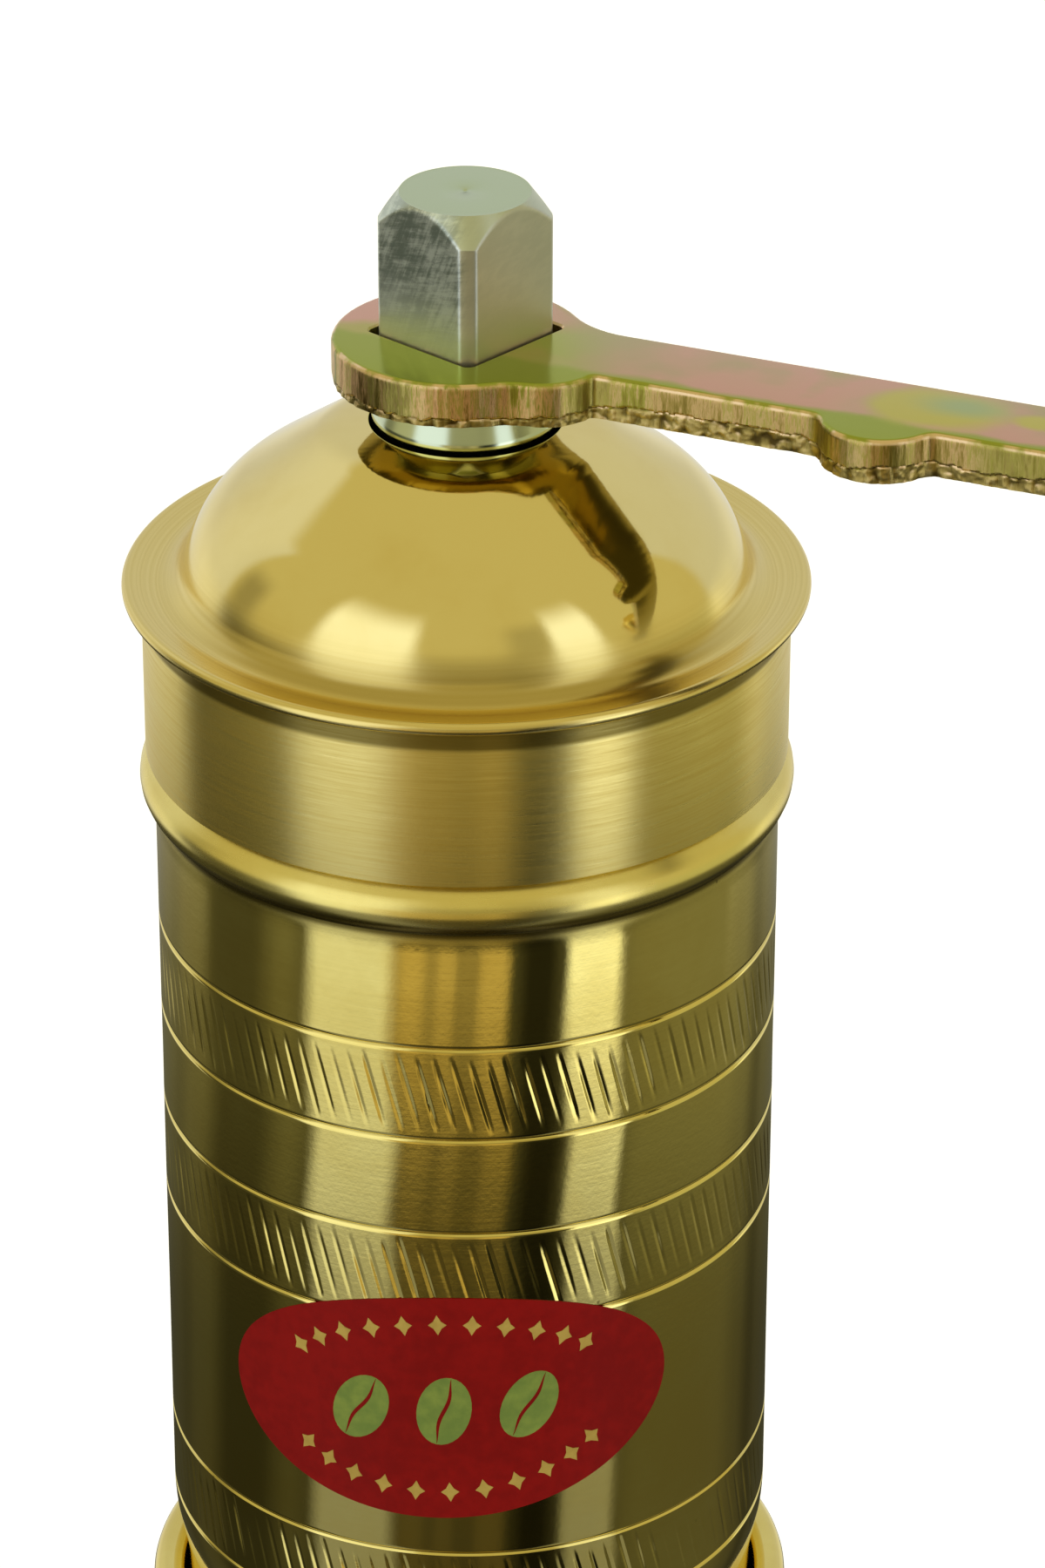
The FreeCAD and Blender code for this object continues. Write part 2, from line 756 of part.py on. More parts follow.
pieces = {
    "cup_shell": make_cup_shell, "cup_base": make_cup_base, "body_tube": make_body_tube,
    "upper_bridge": make_upper_bridge, "guide_bush": make_guide_bush, "ring_burr": make_ring_burr,
    "lower_bridge": make_lower_bridge, "bridge_screws": make_bridge_screws, "burr_spring": make_spring,
    "thrust_ball": make_thrust_ball, "adjust_stem": make_adjust_stem, "adjust_star": make_adjust_star,
    "drive_shaft": make_drive_shaft, "cone_burr": make_cone_burr, "burr_pin": make_burr_pin,
    "spring_washer": make_spring_washer, "lid_dome": make_lid_dome, "lid_skirt": make_lid_skirt,
    "crank_arm": make_crank_arm, "knob_pin": make_knob_pin, "knob_washer": make_knob_washer,
    "crank_knob": make_crank_knob,
}

os.makedirs("parts", exist_ok=True)
for name, make in pieces.items():
    save(name, make())
print(f"top of the square at {z_top:.2f}")
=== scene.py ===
import bmesh
import bpy
import random
from math import acos, atan2, ceil, cos, dist, hypot, pi, radians, sin, sqrt, tan
from mathutils import Matrix, Vector, noise


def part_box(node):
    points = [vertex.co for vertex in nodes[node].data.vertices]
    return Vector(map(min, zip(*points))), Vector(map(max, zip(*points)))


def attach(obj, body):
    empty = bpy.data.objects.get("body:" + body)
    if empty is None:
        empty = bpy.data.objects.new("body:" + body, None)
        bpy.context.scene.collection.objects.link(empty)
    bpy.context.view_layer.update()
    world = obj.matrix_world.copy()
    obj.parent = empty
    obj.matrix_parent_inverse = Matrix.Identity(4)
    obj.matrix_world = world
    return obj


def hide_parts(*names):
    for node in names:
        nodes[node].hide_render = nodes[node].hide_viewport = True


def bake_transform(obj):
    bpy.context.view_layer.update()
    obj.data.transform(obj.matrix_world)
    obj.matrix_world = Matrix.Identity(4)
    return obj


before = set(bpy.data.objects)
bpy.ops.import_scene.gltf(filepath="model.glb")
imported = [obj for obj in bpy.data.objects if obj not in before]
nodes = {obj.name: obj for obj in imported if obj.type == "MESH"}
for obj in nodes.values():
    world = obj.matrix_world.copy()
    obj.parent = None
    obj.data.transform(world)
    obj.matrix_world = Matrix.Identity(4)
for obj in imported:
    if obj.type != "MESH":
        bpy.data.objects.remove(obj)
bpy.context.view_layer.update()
scene = bpy.context.scene

# Lengths are in metres
MM = 0.001

# Camera, as it stood for the photograph
CAMERA_AZIMUTH = 23.5
CAMERA_REACH = 423.0 * MM
CAMERA_HEIGHT = 371.1 * MM
CAMERA_PITCH = 27.5
CAMERA_ROLL = -0.17
CAMERA_LENS = 142.08
CAMERA_SHIFT = 0.0354

# Tube
TUBE_R = 24.0 * MM
TUBE_WALL = 1.0 * MM
SPIGOT_R = 23.0 * MM
SWAGE_LOW = 82.3 * MM
SWAGE_HIGH = 87.3 * MM
SWAGE_ROUND = 15.0 * MM
BEAD_Z = 152.75 * MM
BEAD_OUT = 1.13 * MM
BEAD_ROUND = 1.9 * MM
BEAD_FOOT = 0.3 * MM
NECK_R = 23.6 * MM
TUBE_LINES = [z * MM for z in (141.0, 133.15, 124.95, 117.1, 95.9, 89.0)]

# Cup
CUP_R = 24.15 * MM
CUP_WALL = 0.9 * MM
CUP_RIM_Z = 78.4 * MM
CUP_RIM_ROUND = 1.35 * MM
CUP_RIM_STEPS = 24
CUP_STOP_Z = 60.97 * MM
CUP_STOP_DENT = 1.13 * MM
CUP_STOP_ROUND = 0.8 * MM
CUP_LINES = [z * MM for z in (52.4, 44.6, 22.9, 15.1)]

# Engraved lines and the slanted strokes between each pair of them
LINE_DEPTH = 0.13 * MM
LINE_HALF = 0.21 * MM
STROKES = 112
STROKE_DEPTH = 0.075 * MM
STROKE_HALF = 0.19 * MM
STROKE_LENGTH = 6.5 * MM
STROKE_SLANT = 15.0
STROKE_RAGGED = 0.25 * MM
TUBE_SEED = 3
CUP_SEED = 5

# Rows across an engraved line as (place in half widths, share of the depth), rows along the strokes,
# and columns across each stroke
LINE_ROWS = ((-1.8, 0.0), (-1.0, 0.0), (-0.6, 0.4), (-0.2, 0.95), (0.2, 0.95), (0.6, 0.4), (1.0, 0.0),
             (1.8, 0.0))
STROKE_ROWS = (-1.0, -0.85, -0.55, -0.2, 0.2, 0.55, 0.85, 1.0)
STROKE_STEPS = (-0.5, -0.25, -0.14, -0.05, 0.05, 0.14, 0.25)

# Lid
LID_WALL = 1.0 * MM
FLANGE_RISE = 0.6 * MM
FLARE_R = 21.9 * MM
FLARE_ROUND = 2.2 * MM
DOME_HEIGHT = 13.3 * MM
SHOULDER_R = 20.24 * MM
SHOULDER_DROP = 7.3 * MM
SHOULDER_ROUND = 11.5 * MM
CROWN_LAND = 3.2 * MM
CROWN_DROP = 0.7 * MM
CROWN_ROUND = 6.2 * MM
HOLE_EDGE = 0.12 * MM
HOLE_GAP = 0.25 * MM
RIM_STEPS = 16
RIM_FROM = 20.3 * MM
RIM_TO = 21.5 * MM
BAND_WALL = 0.8 * MM
BAND_EDGE = 0.12 * MM
LID_COLUMNS = 256

# Crank arm: near side, sheared edge with its grains, chromate stains
ARM_NEAR = -4.4 * MM
ARM_EDGE = 0.45 * MM
ARM_STEP = 0.13 * MM
EYE_R = 7.0 * MM
EYE_TORN_SHARE = 0.17
TORN_SHARE = 0.36
TORN_DEPTH = 0.2 * MM
TORN_ROW = 0.1 * MM
TORN_LIP = 0.12 * MM
GRAIN = 0.8 * MM
GRAIN_SEED = 7
STREAK = 0.015 * MM
ARM_FOOT = 0.2 * MM
ARM_EDGE_STEPS = 6
EYE_EDGE_LOW = 0.12 * MM
EYE_EDGE_HIGH = 0.15 * MM
EYE_FRONT = -66.5
YELLOW = (0.66, 0.58, 0.11)
TEAL = (0.47, 0.55, 0.22)

# Stains on the arm as (centre, half widths, colour, softness)
STAINS = (((37.3 * MM, -0.3 * MM), (5.2 * MM, 3.7 * MM), YELLOW, 0.3),
          ((38.8 * MM, 0.9 * MM), (3.0 * MM, 1.7 * MM), TEAL, 0.7),
          ((44.6 * MM, 0.2 * MM), (1.8 * MM, 1.2 * MM), YELLOW, 0.4))

# Knob and adjuster thread
KNOB_BORE = 2.8 * MM
KNOB_BASE_R = 6.4 * MM
KNOB_BASE_ROUND = 0.7 * MM
KNOB_EDGE = 0.2 * MM
KNOB_STEP = 0.18 * MM
KNOB_GROOVES = [z * MM for z in (1.2, 12.6, 13.9)]
KNOB_COLUMNS = 96
KNOB_SINK_R = 4.45 * MM
KNOB_SINK = 2.4 * MM
GROOVE_DEPTH = 0.22 * MM
GROOVE_HALF = 0.3 * MM
THREAD_PITCH = 1.0 * MM
THREAD_DEPTH = 0.5 * MM
THREAD_ROWS = 8
STEM_COLUMNS = 48
STEM_TAPER = 0.5 * MM
STEM_TAPER_LENGTH = 0.8 * MM

# Label
LABEL_AZIMUTH = 18.9
LABEL_Z = 109.3 * MM
LABEL_HALF_WIDTH = 18.3 * MM
LABEL_HALF_HEIGHT = 10.0 * MM
LABEL_TILT = 3.5
LABEL_THICK = 0.06 * MM
LABEL_SINK = 0.02 * MM
LABEL_RINGS = 14
LABEL_COLUMNS = 120
INK_THICK = 0.025 * MM
INK_RINGS = ((0.0, 1.0), (0.5, 1.0), (0.94, 1.0), (1.0, 0.0))
BEAN_HALF_WIDTH = 2.1 * MM
BEAN_HALF_HEIGHT = 3.1 * MM
BEAN_SLIT = 0.16 * MM
BEAN_STEP = 6.6 * MM
BEAN_DROP = 0.2 * MM
BEAN_TURNS = (-0.5, -0.25, -0.5)
BEAN_POINTS = 16
LOZENGES = 11
LOZENGE_STEP = 11.0
LOZENGE_OVAL = 0.76
LOZENGE_HALF = 0.72 * MM

# Shaft
ROD_R = 4.0 * MM
COLLAR_R = 7.0 * MM
COLLAR_LENGTH = 13.0 * MM
COLLAR_TOP_R = 6.0 * MM
COLLAR_FOOT_R = 6.7 * MM
COLLAR_BELLY_Z = 0.5 * MM
COLLAR_BELLY_ROUND = 0.9 * MM
COLLAR_BELLY_OUT = 0.2 * MM
ARM_SEAT = 0.05 * MM
SHAFT_EDGE = 0.25 * MM
SHAFT_COLUMNS = 360
SQUARE_ROWS = 110
SQUARE_FLATS = 10.0 * MM
SQUARE_CORNER_R = 6.45 * MM
SQUARE_TOP_R = 4.9 * MM
SQUARE_CHAMFER = 2.1 * MM
SQUARE_TURN = 25.1
EDGE_WEAR = 0.12 * MM

# Rings on the square's top as (share of its radius, drop)
TOP_RINGS = ((0.97, 0.02 * MM), (0.9, 0.0), (0.5, 0.0), (0.06, 0.0), (0.03, 0.06 * MM), (0.0, 0.08 * MM))

# Finishes: noise as (scale, detail, roughness), heights of bumps, and strengths of painted shade
TARNISH = (55.0, 5.0, 0.62)
PEEL = (2300.0, 2.0)
PEEL_HIGH = 0.02 * MM
TOOL_HIGH = 0.03 * MM
SCRATCH_HIGH = 0.05 * MM
GRAIN_HIGH = 0.06 * MM
STREAK_HIGH = 0.08 * MM
MARK_HIGH = 0.1 * MM
BEAD_MATTE = 0.20
# Painted shade under the bead, at the top of the lid's band under its flange, and at the front of the
# lid's trough
BEAD_PAINTED_SHADE = 0.85
RIM_PAINTED_SHADE = 0.8
TROUGH_PAINTED_SHADE = 0.65

# Strips of studio light as (degrees from the camera's direction, half width, softness, strength)
PANES = ((-43, 21, 4, 1.0), (46.5, 10, 3, 1.0))
LOW_LEFT_PANE = (-45, 16, 4, 0.76)
LOW_RIGHT_PANE = (47.5, 10.5, 2.5, 1.15)
BACKDROP_GLOW = (-130, 18, 14, 0.11)
AMBER = ((-21, 7, 6, 0.52), (-8, 4, 3, 0.45), (1, 4, 2, 0.25), (9.5, 5, 2.5, 0.50))
DIM = ((-125, 12, 8, 0.08), (-72, 8, 8, 0.09), (95, 38, 8, 0.11), (180, 40, 8, 0.06), (26, 7, 4, -0.05))

# Shaded strips of the walls as (degrees, half width, softness), fading between two heights
SHADES = (((27, 9, 6), (46, 34), 0.15), ((-102, 7, 5), (32, 18), 0.24), ((-2, 22, 8), (26, 12), 0.2))

# Tints of the light
WINDOW_TINT = (1.0, 1.04, 1.15)
BACKDROP_TINT = (1.0, 1.0, 1.02)
WALL_TINT = (1.0, 0.90, 0.51)
AMBER_TINT = (1.0, 0.75, 0.31)
DIM_TINT = (1.0, 0.96, 0.58)

FLOOR_HALF = 3.0
FLOOR_GLOW = 0.65

# Points of a mesh that are closer than the first are one, and a length under the second counts as none
WELD = 1e-7
TINY = 1e-6


def source(beside, kind, **settings):
    """A shader node with its settings made, in the tree of another node or of a socket."""
    made = beside.id_data.nodes.new("ShaderNode" + kind)
    for key, value in settings.items():
        setattr(made, key, value)
    return made


def node(kind, inputs, **settings):
    """A shader node with its settings made, and its inputs linked where they are sockets or else set."""
    links = {key: value for key, value in inputs.items() if isinstance(value, bpy.types.NodeSocket)}
    made = source(next(iter(links.values())), kind, **settings)
    for key, value in inputs.items():
        if key in links:
            made.id_data.links.new(value, made.inputs[key])
        else:
            socket = made.inputs[key]
            socket.default_value = (*value, 1) if socket.type == "RGBA" else value
    return made


def calc(operation, *values):
    """Output of a math node."""
    return node("Math", dict(enumerate(values)), operation=operation).outputs[0]


def plus(total, *values):
    """Sum of values."""
    for value in values:
        total = calc("ADD", total, value)
    return total


def minus(a, b):
    """Difference of two values."""
    return calc("SUBTRACT", a, b)


def times(total, *values):
    """Product of values."""
    for value in values:
        total = calc("MULTIPLY", total, value)
    return total


def vector(operation, *values):
    """Outputs of a vector math node."""
    return node("VectorMath", dict(enumerate(values)), operation=operation).outputs


def axis(place, letter):
    """One coordinate of a place."""
    return node("SeparateXYZ", {0: place}).outputs[letter]


def ramp(value, low, high, out_low=0.0, out_high=1.0):
    """Smooth step of a value between two limits."""
    made = node("MapRange", {"Value": value, "From Min": low, "From Max": high,
                "To Min": out_low, "To Max": out_high}, interpolation_type="SMOOTHSTEP")
    return made.outputs["Result"]


def mix(factor, a, b):
    """Colour between a and b."""
    made = node("Mix", {0: factor, 6: a, 7: b}, data_type="RGBA")
    return made.outputs[2]


def cloud(place, scale, detail=3.0, roughness=0.55):
    """Noise value at a place."""
    return node("TexNoise", {"Vector": place, "Scale": scale, "Detail": detail,
                "Roughness": roughness}).outputs["Fac"]


def stretched(place, x, y, z):
    """The place with each axis scaled, for grain that runs one way."""
    return vector("MULTIPLY", place, (x, y, z))[0]


def leaned(place, degrees):
    """The place turned about the level axis across the arm."""
    return node("VectorRotate", {"Vector": place, "Angle": radians(degrees)},
                rotation_type="Y_AXIS").outputs[0]


def along(place, degrees):
    """Distance along a level direction, in degrees from the arm's own."""
    angle = radians(degrees)
    return vector("DOT_PRODUCT", place, (cos(angle), sin(angle), 0.0))["Value"]


def level_share(place):
    """Upright part of the surface's normal: one on level faces that look up."""
    return axis(source(place, "NewGeometry").outputs["Normal"], "Z")


def facing_up(level, sense=1.0):
    """One on faces that look up, or down where the sense is negative, and nought on upright ones."""
    return ramp(level, 0.35 * sense, 0.9 * sense)


def colour_band(value, stops):
    """Colour ramp through (position, colour) stops."""
    made = node("ValToRGB", {"Fac": value})
    elements = made.color_ramp.elements
    while len(elements) < len(stops):
        elements.new(0.5)
    for element, (position, colour) in zip(elements, stops):
        element.position = position
        element.color = (*colour, 1)
    return made.outputs["Color"]


def bump(height, strength, distance, normal=None):
    """Normal bent by a height."""
    inputs = {"Height": height, "Strength": strength, "Distance": distance}
    if normal is not None:
        inputs["Normal"] = normal
    return node("Bump", inputs).outputs[0]


def new_material(name, metallic):
    """Material with a principled shader, and the place of each point in the row's frame."""
    made = bpy.data.materials.new(name)
    made.use_nodes = True
    shader = made.node_tree.nodes["Principled BSDF"]
    shader.inputs["Metallic"].default_value = metallic
    place = source(shader, "TexCoord").outputs["Object"]
    return made, shader, place


def wire_up(shader, **sockets):
    """Link values to the shader's sockets, whose spaces are written as underscores."""
    for key, value in sockets.items():
        shader.id_data.links.new(value, shader.inputs[key.replace("_", " ")])


def brass(name, pale, deep, turning, gloss=0.2, peel=0.25, matte_z=None):
    """Polished sheet brass with tarnish, tool lines and a faint orange peel, matte at a rolled bead, with
    painted shade under the bead.
    """
    made, shader, place = new_material(name, 1.0)
    tarnish = cloud(place, *TARNISH)
    lines = cloud(stretched(place, 0.03, 0.03, 1.0), 2600.0, 4.0, 0.7)
    shade = ramp(plus(tarnish, times(lines, 0.18)), 0.42, 0.78)
    specks = ramp(cloud(place, 700.0, 2.0), 0.76, 0.82)
    speck = [part * 0.4 for part in deep]
    colour = mix(specks, mix(shade, pale, deep), speck)
    rough = plus(gloss, times(shade, 0.06))
    if matte_z:
        height = minus(axis(place, "Z"), matte_z)
        matte = ramp(calc("ABSOLUTE", height), 3.2 * MM, 2.2 * MM, 0.0, BEAD_MATTE)
        rough = plus(rough, matte)
        # Painted shade: the bead's underside and the tube just below it are darkened in the colour, as a
        # painted shadow line
        painted_shade = times(ramp(height, -0.5 * MM, -1.1 * MM),
                      ramp(height, -2.6 * MM, -2.1 * MM), BEAD_PAINTED_SHADE)
        colour = mix(painted_shade, colour, (0.10, 0.07, 0.01))
    normal = bump(cloud(place, *PEEL), peel, PEEL_HIGH)
    normal = bump(lines, turning, TOOL_HIGH, normal)
    wire_up(shader, Base_Color=colour, Roughness=rough, Normal=normal)
    return made


def spun_brass():
    """Spun lid: a polished dome with few specks, a rim with the turning tool's rings, and painted shade in
    the trough on its front side.
    """
    made, shader, place = new_material("lid_brass", 1.0)
    out = vector("LENGTH", stretched(place, 1.0, 1.0, 0.0))["Value"]
    rim = ramp(out, RIM_FROM, RIM_TO)
    rings = cloud(node("CombineXYZ", {"X": out}).outputs[0], 4200.0, 4.0, 0.75)
    tarnish = cloud(place, *TARNISH)
    dome = mix(ramp(tarnish, 0.42, 0.74), (0.92, 0.77, 0.30), (0.86, 0.69, 0.23))
    ringed = mix(ramp(rings, 0.35, 0.7), (0.90, 0.74, 0.27), (0.80, 0.63, 0.19))
    colour = mix(rim, dome, ringed)
    # Painted shade: the trough between dome and rim is darkened on the front side, standing in for a dark
    # reflection there
    trough = times(ramp(out, 20.9 * MM, 21.7 * MM), ramp(out, 23.2 * MM, 22.4 * MM))
    front = ramp(along(place, CAMERA_AZIMUTH - 90), 5 * MM, 18 * MM, 0.0, TROUGH_PAINTED_SHADE)
    colour = mix(times(trough, front), colour, (0.46, 0.34, 0.08))
    specks = ramp(cloud(place, 900.0, 2.0), 0.80, 0.84)
    colour = mix(specks, colour, (0.45, 0.33, 0.10))
    rough = plus(times(rim, 0.16), times(tarnish, 0.16))
    normal = bump(cloud(place, *PEEL), 0.06, PEEL_HIGH)
    normal = bump(times(rings, rim), 0.22, TOOL_HIGH, normal)
    wire_up(shader, Base_Color=colour, Roughness=rough, Normal=normal)
    return made


def brushed_brass():
    """Lid's band: brushed round its axis, so what it mirrors is drawn out up and down, with a painted
    shadow at its top under the flange.
    """
    made, shader, place = new_material("band_brass", 1.0)
    lines = cloud(stretched(place, 0.02, 0.02, 1.0), 4200.0, 5.0, 0.8)
    worn = cloud(place, 60.0, 4.0)
    shade = ramp(plus(times(lines, 0.8), times(worn, 0.3)), 0.40, 0.72)
    colour = mix(shade, (0.94, 0.79, 0.28), (0.82, 0.64, 0.18))
    z_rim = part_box("lid_skirt")[1].z
    # Painted shadow: the band's top under the flange is darkened in the colour
    painted_shade = ramp(axis(place, "Z"), z_rim - 1.7 * MM, z_rim - 1.2 * MM, 0.0, RIM_PAINTED_SHADE)
    colour = mix(painted_shade, colour, (0.12, 0.085, 0.01))
    rough = plus(0.27, times(shade, 0.10))
    normal = bump(lines, 0.35, TOOL_HIGH)
    tangent = source(place, "Tangent", direction_type="RADIAL", axis="Z").outputs[0]
    wire_up(shader, Base_Color=colour, Roughness=rough, Normal=normal, Tangent=tangent)
    shader.inputs["Anisotropic"].default_value = 0.95
    shader.inputs["Anisotropic Rotation"].default_value = 0.25
    return made


def steel(name, pale, deep, gloss, scratch_turn, scratch_strength):
    """Plated steel with scratches that run one way."""
    made, shader, place = new_material(name, 1.0)
    turned = leaned(place, scratch_turn)
    scratches = cloud(stretched(turned, 0.12, 0.12, 1.0), 1900.0, 5.0, 0.7)
    patches = cloud(place, 260.0, 4.0)
    shade = ramp(plus(scratches, times(patches, 0.6)), 0.62, 1.0)
    rough = plus(gloss, times(shade, 0.14))
    normal = bump(scratches, scratch_strength, SCRATCH_HIGH)
    wire_up(shader, Base_Color=mix(shade, pale, deep), Roughness=rough, Normal=normal)
    return made


def oval(place, centre, half, ragged):
    """Distance from an oval's centre on the plate, one at its edge, with a ragged outline."""
    away = vector("SUBTRACT", place, (*centre, 0.0))[0]
    reach = vector("LENGTH", stretched(away, 1 / half[0], 1 / half[1], 0.0))["Value"]
    return plus(reach, times(minus(ragged, 0.5), 1.2))


def chromate_top(place, drift, brushed):
    """Upper face of the plate: pink, green along the near edge and the eye's front, with stains."""
    pink = (0.74, 0.44, 0.27)
    top = colour_band(plus(drift, times(brushed, 0.05)),
                      ((0.34, (0.54, 0.47, 0.18)), (0.43, (0.62, 0.45, 0.23)), (0.53, pink),
                       (0.63, (0.76, 0.43, 0.28)), (0.74, (0.58, 0.47, 0.21))))
    wander = times(minus(drift, 0.5), 4 * MM)
    across = plus(axis(place, "Y"), wander)
    near = ramp(across, ARM_NEAR + 0.3 * MM, ARM_NEAR + 1.5 * MM, 0.95, 0.0)
    top = mix(near, top, (0.38, 0.45, 0.06))
    short = ramp(along(place, 0), 17 * MM, 9 * MM)
    top = mix(short, top, (0.55, 0.47, 0.20))
    front = plus(along(place, EYE_FRONT), wander)
    eye = mix(ramp(front, -2.0 * MM, 1.5 * MM), (0.80, 0.45, 0.31), (0.47, 0.54, 0.09))
    eye = mix(ramp(drift, 0.48, 0.62), eye, (0.56, 0.50, 0.13))
    neck = ramp(along(place, EYE_FRONT + 90), 4 * MM, 12 * MM)
    top = mix(neck, eye, top)
    top = mix(near, top, (0.40, 0.46, 0.06))
    for centre, half, stain, soft in STAINS:
        reach = oval(place, centre, half, drift)
        top = mix(ramp(reach, 0.9 + soft, 0.9 - soft), top, stain)
    return top


def chromate_side(place, fine, wide, patches):
    """Sheared side of the plate: upright streaks, dull patches, and grains where it is torn, painted dark
    in their crevices as painted shade.
    """
    streaks = plus(times(fine, 0.4), times(wide, 0.6))
    side = colour_band(streaks, ((0.38, (0.16, 0.09, 0.02)), (0.43, (0.44, 0.29, 0.09)),
                                       (0.47, (0.84, 0.52, 0.26)), (0.505, (0.52, 0.44, 0.10)),
                                       (0.54, (0.84, 0.56, 0.27)), (0.59, (0.36, 0.36, 0.05)),
                                       (0.65, (0.22, 0.17, 0.03))))
    dull = mix(ramp(fine, 0.4, 0.6), (0.20, 0.19, 0.03), (0.46, 0.42, 0.10))
    side = mix(ramp(patches, 0.50, 0.60, 0.0, 0.75), side, dull)
    past_eye = ramp(along(place, 0), 9 * MM, 13 * MM)
    side = mix(past_eye, side, mix(0.4, side, (0.36, 0.31, 0.05)))
    relief = source(place, "Attribute", attribute_name="relief").outputs["Fac"]
    # Painted shade: the grains are coloured dark where the relief is low, in their crevices, and lighter
    # on their tops
    grains = colour_band(relief, ((0.0, (0.09, 0.06, 0.015)), (0.16, (0.24, 0.18, 0.045)),
                                        (0.32, (0.42, 0.32, 0.09)), (0.60, (0.66, 0.51, 0.19))))
    return mix(ramp(relief, 0.62, 0.95), grains, side)


def chromate():
    """Yellow chromate on zinc: stained upper face, streaked side with torn grains, a painted highlight
    along the rolled upper edge, and a plain underside painted darker as painted shade.
    """
    made, shader, place = new_material("chromate_plate", 1.0)
    drift = cloud(place, 95.0, 3.0, 0.5)
    brushed = cloud(stretched(place, 0.08, 1.0, 1.0), 1700.0, 4.0, 0.7)
    top = chromate_top(place, drift, brushed)
    upright = stretched(place, 1.0, 1.0, 0.12)
    fine = cloud(upright, 2300.0, 4.0, 0.75)
    wide = cloud(upright, 330.0, 3.0, 0.6)
    side = chromate_side(place, fine, wide, cloud(upright, 190.0, 2.0))
    level = level_share(place)
    up = facing_up(level)
    down = facing_up(level, -1.0)
    rolled = minus(ramp(level, 0.1, 0.4), ramp(level, 0.85, 0.97))
    # Painted highlight: the rolled upper edge is painted cream where the streak noise allows
    edge = times(rolled, ramp(wide, 0.56, 0.42))
    colour = mix(edge, mix(up, side, top), (0.90, 0.66, 0.36))
    # Painted shade: faces that look down are painted darker, standing in for the shade under the plate
    colour = mix(down, colour, (0.34, 0.26, 0.06))
    sheared = minus(1.0, plus(up, down))
    rough = plus(0.13, times(brushed, 0.08), times(sheared, 0.18))
    normal = bump(brushed, 0.10, TOOL_HIGH)
    normal = bump(times(fine, sheared), 0.4, STREAK_HIGH, normal)
    wire_up(shader, Base_Color=colour, Roughness=rough, Normal=normal)
    return made


def plated_shaft():
    """Zinc on steel: mirror collar, flats with scratches on one side only and painted lighter there as
    painted light, and a clean top.
    """
    made, shader, place = new_material("shaft_steel", 1.0)
    z_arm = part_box("crank_arm")[0].z
    up = facing_up(level_share(place))
    scratched_and_lit = ramp(along(place, SQUARE_TURN), 0.1 * MM, -0.9 * MM, 0.16, 1.0)
    level = cloud(stretched(leaned(place, 14), 0.16, 0.16, 1.0), 1700.0, 5.0, 0.75)
    crossed = cloud(stretched(leaned(place, 68), 0.10, 0.10, 1.0), 2300.0, 4.0, 0.7)
    patches = cloud(place, 380.0, 4.0, 0.6)
    marks = plus(times(level, 0.55), times(crossed, 0.45))
    dark = ramp(plus(marks, times(patches, 0.45)), 0.60, 0.84)
    height = axis(place, "Z")
    head = ramp(height, z_arm - 0.2 * MM, z_arm)
    flats = times(head, minus(1.0, up), scratched_and_lit)
    upper = ramp(height, z_arm + 4 * MM, z_arm + 10 * MM, 0.1, 0.9)
    dark = times(dark, flats, upper)
    # Painted light: the flats on the scratched side get a lighter tone than the others, besides their real
    # scratches
    flat_tone = mix(scratched_and_lit, (0.60, 0.60, 0.48), (0.86, 0.92, 0.82))
    upright = mix(head, (0.64, 0.72, 0.50), flat_tone)
    colour = mix(dark, mix(up, upright, (0.60, 0.70, 0.45)), (0.26, 0.31, 0.25))
    rough = plus(0.16, times(head, 0.10), times(minus(head, up), 0.17))
    normal = bump(times(marks, plus(flats, 0.02)), 0.55, MARK_HIGH)
    wire_up(shader, Base_Color=colour, Roughness=rough, Normal=normal)
    return made


def cast_iron():
    """Hardened iron with ground flats and grey grain."""
    made, shader, place = new_material("burr_iron", 0.85)
    grain = cloud(place, 1500.0, 5.0, 0.65)
    patches = cloud(place, 160.0, 3.0)
    colour = mix(ramp(patches, 0.35, 0.7), (0.13, 0.13, 0.135), (0.26, 0.25, 0.24))
    rough = plus(0.34, times(grain, 0.3))
    wire_up(shader, Base_Color=colour, Roughness=rough, Normal=bump(grain, 0.5, GRAIN_HIGH))
    return made


def printed(name, colour, deep):
    """Printed sticker film with a faint mottle."""
    made, shader, place = new_material(name, 0.0)
    mottle = cloud(place, 900.0, 4.0)
    wide = cloud(place, 90.0, 2.0)
    shade = ramp(plus(times(mottle, 0.5), times(wide, 0.5)), 0.35, 0.65)
    normal = bump(mottle, 0.08, PEEL_HIGH)
    wire_up(shader, Base_Color=mix(shade, colour, deep), Normal=normal)
    shader.inputs["Roughness"].default_value = 0.4
    shader.inputs["Specular IOR Level"].default_value = 0.06
    return made


def add_object(name, data):
    """Object in the scene, with a mesh or a camera."""
    made = bpy.data.objects.new(name, data)
    scene.collection.objects.link(made)
    return made


def finish_mesh(mesh, material, crease=30.0):
    """A mesh gets its finish, and smooth faces with creases."""
    mesh.materials.clear()
    mesh.materials.append(material)
    mesh.polygons.foreach_set("use_smooth", [True] * len(mesh.polygons))
    mesh.set_sharp_from_angle(angle=radians(crease))


